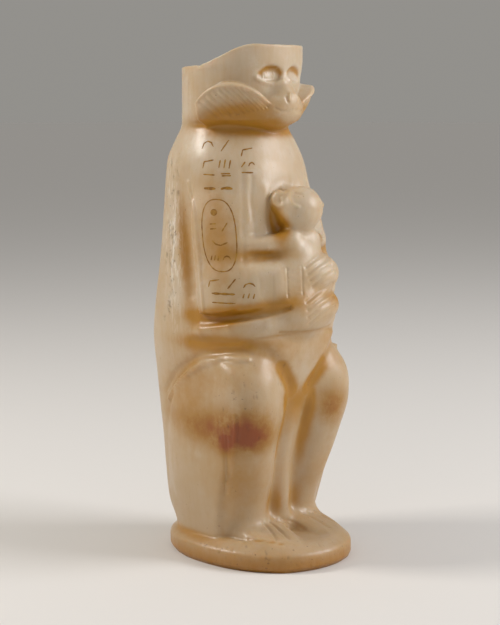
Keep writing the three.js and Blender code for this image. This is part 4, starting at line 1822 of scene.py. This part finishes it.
@dataclass(frozen=True)
class MarkRow:
    """A row of marks in a column: its height, how tall it is, what stands in it and its lines' width."""

    height: float
    tall: float
    marks: tuple[Mark, ...]
    line: float = 0.5


@dataclass(frozen=True)
class MarkColumn:
    """A column of rows, with its middle at two heights and its half width, in millimetres."""

    top: tuple[float, float]
    bottom: tuple[float, float]
    half_width: float
    rows: tuple[MarkRow, ...]

    # Share of its cell's width that a mark fills.
    FILLED: ClassVar[float] = 0.86

    def middle(self, height: float) -> float:
        """Across of the column's middle at a height."""
        share = (height - self.bottom[1]) / (self.top[1] - self.bottom[1])
        return self.bottom[0] + (self.top[0] - self.bottom[0]) * share

    def traces(self) -> list[tuple[Trace, float]]:
        """Every stroke of the column with its width.

        Returns:
            Pairs of a trace and a line's width, from the top row down.
        """
        made = []
        for row in self.rows:
            cell = self.half_width / len(row.marks)
            for k, mark in enumerate(row.marks):
                middle = self.middle(row.height) - self.half_width + cell * (2 * k + 1)
                wide = self.FILLED * cell
                for line in mark.value:
                    trace = tuple((middle + wide * a, row.height + row.tall / 2 * b) for a, b in line)
                    made.append((trace, row.line))
        return made


ARM_COLUMN = MarkColumn(
    (-15.6, 151.0),
    (-12.6, 95.0),
    6.0,
    (
        MarkRow(149.6, 5.0, (Mark.ARC, Mark.SLANT)),
        MarkRow(143.2, 4.6, (Mark.BEND, Mark.TICKS)),
        MarkRow(139.4, 1.6, (Mark.DASH, Mark.BARS)),
        MarkRow(134.6, 0.8, (Mark.DASH, Mark.ARC), 1.0),
        MarkRow(102.0, 4.4, (Mark.BEND, Mark.SLANT)),
        MarkRow(98.4, 1.0, (Mark.DASH,), 0.8),
        MarkRow(95.2, 0.8, (Mark.DASH,)),
    ),
)
OVAL_COLUMN = MarkColumn(
    (-15.3, 131.0),
    (-13.2, 106.0),
    4.0,
    (
        MarkRow(121.4, 3.8, (Mark.BARS, Mark.SLANT)),
        MarkRow(115.8, 2.8, (Mark.BOWL,)),
        MarkRow(110.6, 2.8, (Mark.TICKS, Mark.ARC)),
    ),
)
CHEST_COLUMN = MarkColumn(
    (-4.6, 149.0),
    (-3.6, 97.0),
    3.0,
    (
        MarkRow(147.4, 4.4, (Mark.BEND,)),
        MarkRow(143.0, 2.4, (Mark.SLANT, Mark.ARC)),
        MarkRow(140.2, 1.0, (Mark.DASH,)),
        MarkRow(101.4, 3.0, (Mark.ARC,)),
        MarkRow(97.8, 2.8, (Mark.TICKS,)),
    ),
)
# The border's half width and half height, and the power that squares it a little.
OVAL_HALF = (6.0, 12.4)
OVAL_SQUARING = 0.78
# The dot's across, height and radius.
OVAL_DOT = (-16.2, 126.4, 1.2)


def oval_trace(column: MarkColumn) -> Trace:
    """The upright rounded border round a column.

    Args:
        column: the column that the border goes round.

    Returns:
        The border's places, with the first one again at the end.
    """
    middle = (column.top[1] + column.bottom[1]) / 2
    steps = 48
    made = []
    for k in range(steps + 1):
        turn = 2 * math.pi * k / steps
        sin, cos = math.sin(turn), math.cos(turn)
        height = middle + OVAL_HALF[1] * math.copysign(abs(cos) ** OVAL_SQUARING, cos)
        aside = OVAL_HALF[0] * math.copysign(abs(sin) ** OVAL_SQUARING, sin)
        made.append((column.middle(height) + aside, height))
    return made


class Penman:
    """Lays thin ribbons of ochre on the finished skin."""

    # Length of a ribbon's steps, and how far the ochre stands off the stone.
    STEP = 0.35
    LIFT = 0.02
    # How far off the rays start, and the degrees between two places on a dot's rim.
    AWAY = 75
    DOT_TURN = 20

    def __init__(self, stone: bpy.types.Object) -> None:
        """Takes the stone's mesh as the ground to draw on.

        Args:
            stone: the finished vase.
        """
        mesh = stone.data
        corners = [v.co / MM for v in mesh.vertices]
        self.tree = BVHTree.FromPolygons(corners, [tuple(p.vertices) for p in mesh.polygons])
        self.points: list[Vector] = []
        self.faces: list[tuple[int, ...]] = []

    def land(self, across: float, height: float) -> tuple[Vector, Vector] | None:
        """Where a level ray from the seen side meets the stone.

        Args:
            across: across of the ray.
            height: height of the ray.

        Returns:
            The place and the stone's normal there, or None where the ray misses.
        """
        start = Vector(((across - self.AWAY) * HALF, -(across + self.AWAY) * HALF, height))
        place, normal, _, _ = self.tree.ray_cast(start, Vector((HALF, HALF, 0)))
        return None if place is None else (place, normal)

    def ribbon(self, trace: Trace, width: float) -> None:
        """Lays a ribbon that tapers at its ends and wavers a little in width.

        Args:
            trace: the places along its middle.
            width: its full width.
        """
        knots = np.array(trace, float)
        lengths = lengths_along(knots)
        count = max(4, math.ceil(lengths[-1] / self.STEP) + 1)
        stations = np.linspace(0.0, lengths[-1], count)
        landed = [self.land(*(float(np.interp(s, lengths, knots[:, k])) for k in (0, 1))) for s in stations]
        if any(place is None for place in landed):
            LOG.warning("an ochre stroke misses the stone: %s", trace[0])
            return
        closed = (knots[0] - knots[-1]) @ (knots[0] - knots[-1]) < 1e-6
        first = len(self.points)
        for k, (place, normal) in enumerate(landed):
            before, after = landed[max(k - 1, 0)][0], landed[min(k + 1, count - 1)][0]
            beside = (after - before).cross(normal).normalized()
            share = k / (count - 1)
            taper = 1.0 if closed else min(1.0, 0.45 + 5 * min(share, 1 - share))
            uneven = 1.0 + 0.18 * math.sin(2.1 * stations[k] + knots[0][1])
            for side in (-1.0, 1.0):
                edge = place + beside * (side * width / 2 * taper * uneven)
                nearest, up, _, _ = self.tree.find_nearest(edge)
                self.points.append(nearest + up * self.LIFT)
        for k in range(count - 1):
            a = first + 2 * k
            self.faces.append((a, a + 1, a + 3, a + 2))

    def dot(self, across: float, height: float, radius: float) -> None:
        """Lays a round spot.

        Args:
            across: across of its middle.
            height: height of its middle.
            radius: its radius.
        """
        middle = self.land(across, height)
        turns = [math.radians(degrees) for degrees in range(0, 360, self.DOT_TURN)]
        rim = [self.land(across + radius * math.cos(t), height + radius * math.sin(t)) for t in turns]
        first = len(self.points)
        self.points += [place + normal * self.LIFT for place, normal in (middle, *rim)]
        count = len(rim)
        self.faces += [(first, first + 1 + k, first + 1 + (k + 1) % count) for k in range(count)]


@dataclass(frozen=True)
class OchreStrokes:
    """All the strokes that stand where the old signs were, as one object."""

    columns: tuple[MarkColumn, ...] = (ARM_COLUMN, OVAL_COLUMN, CHEST_COLUMN)
    bordered: MarkColumn = OVAL_COLUMN
    border_line: float = 0.44
    finish: Ochre = Ochre()

    def build(self, stone: bpy.types.Object) -> bpy.types.Object:
        """Draws and dresses the strokes.

        Args:
            stone: the finished vase.

        Returns:
            The strokes' object.
        """
        pen = Penman(stone)
        pen.ribbon(oval_trace(self.bordered), self.border_line)
        for column in self.columns:
            for trace, line in column.traces():
                pen.ribbon(trace, line)
        pen.dot(*OVAL_DOT)
        mesh = bpy.data.meshes.new("ochre_strokes")
        mesh.from_pydata([tuple(p * MM) for p in pen.points], [], pen.faces)
        strokes = show("ochre_strokes", mesh)
        strokes.data.materials.append(self.finish.material())
        return strokes


# The studio


def aim(thing: bpy.types.Object, target: Vector) -> None:
    """Turns a lamp or camera towards a point."""
    thing.rotation_euler = (target - thing.location).to_track_quat("-Z", "Y").to_euler()


@dataclass(frozen=True)
class Softbox:
    """A square lamp: where it stands and its size in metres, its power in watts and its colour."""

    name: str
    place: tuple[float, float, float]
    size: float
    power: float
    colour: str

    def build(self, target: Vector) -> None:
        """Hangs the lamp, turned to its target.

        Args:
            target: the place that it lights.
        """
        lamp = bpy.data.lights.new(self.name, "AREA")
        lamp.size = self.size
        lamp.energy = self.power
        lamp.color = linear(self.colour)[:3]
        thing = bpy.data.objects.new(self.name, lamp)
        thing.location = self.place
        aim(thing, target)
        bpy.context.scene.collection.objects.link(thing)


@dataclass(frozen=True)
class Studio:
    """The floor, the lights and the camera at the photo's angle. Lengths are in metres."""

    softboxes: tuple[Softbox, ...] = (
        Softbox("key", (0.55, -0.74, 0.62), 0.55, 7.9, "#fbfbff"),
        Softbox("fill", (-0.85, -0.30, 0.50), 0.35, 0.4, "#faf7f2"),
        Softbox("rim", (-0.50, 0.45, 0.60), 0.22, 3.6, "#fffaf4"),
    )
    lit: tuple[float, float, float] = (0, 0, 0.09)
    floor_size: float = 60
    paper: FloorPaper = FloorPaper()
    horizon: str = "#d0cdc7"
    overhead: str = "#eeecea"
    air_strength: float = 0.46
    lens: float = 88.8
    sensor: float = 36
    eye: tuple[float, float, float] = (-0.396, -0.396, 0.160)
    looked_at: tuple[float, float, float] = (-0.002567, 0.002567, 0.08856)

    def floor(self) -> bpy.types.Object:
        """Lays the plain floor.

        Returns:
            The floor's object.
        """
        bpy.ops.mesh.primitive_plane_add(size=self.floor_size, location=(0, 0, 0))
        floor = bpy.context.object
        floor.name = "floor"
        floor.data.materials.append(self.paper.material())
        return floor

    def air(self) -> None:
        """Fills the air with even light that is brighter overhead and meets the floor without a line."""
        world = bpy.data.worlds.new("studio air")
        world.use_nodes = True
        g = Graph(world)
        ray = g.add("ShaderNodeTexCoord", {}, "Generated")
        span = {"Value": g.add("ShaderNodeSeparateXYZ", {"Vector": ray}, "Z"), 1: 0.02, 2: 0.7}
        rise = g.add("ShaderNodeMapRange", span, interpolation_type="SMOOTHSTEP")
        colour = g.coat(linear(self.horizon), self.overhead, rise)
        background = g.add("ShaderNodeBackground", {"Color": colour, "Strength": self.air_strength})
        g.add("ShaderNodeOutputWorld", {"Surface": background}, None)
        bpy.context.scene.world = world

    def camera(self) -> None:
        """Sets up the camera, square on the seen side and a little above the middle."""
        camera = bpy.data.cameras.new("camera")
        camera.lens = self.lens
        camera.sensor_width = self.sensor
        camera.sensor_fit = "AUTO"
        eye = bpy.data.objects.new("camera", camera)
        eye.location = self.eye
        aim(eye, Vector(self.looked_at))
        bpy.context.scene.collection.objects.link(eye)
        bpy.context.scene.camera = eye

    def build(self) -> None:
        """Sets the whole studio up round the vase."""
        floor = self.floor()
        for box in self.softboxes:
            box.build(Vector(self.lit))
        self.air()
        self.camera()


def main() -> None:
    """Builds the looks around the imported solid, piece by piece."""
    logging.basicConfig(level=logging.INFO)
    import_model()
    low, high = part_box(NODE)
    LOG.info("solid %.1f mm tall", (high.z - low.z) / MM)
    bpy.context.scene.view_settings.view_transform = "Standard"
    detail = SkinDetail()
    stone = StoneVase(detail).build()
    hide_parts(NODE)
    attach(stone, "root")
    strokes = OchreStrokes().build(stone)
    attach(strokes, "root")
    for piece in (stone, strokes):
        LOG.info("%s: %d faces", piece.name, len(piece.data.polygons))
    studio = Studio()
    studio.build()
    LOG.info("studio: floor, %d lamps and camera", len(studio.softboxes))


if __name__ == "__main__":
    main()
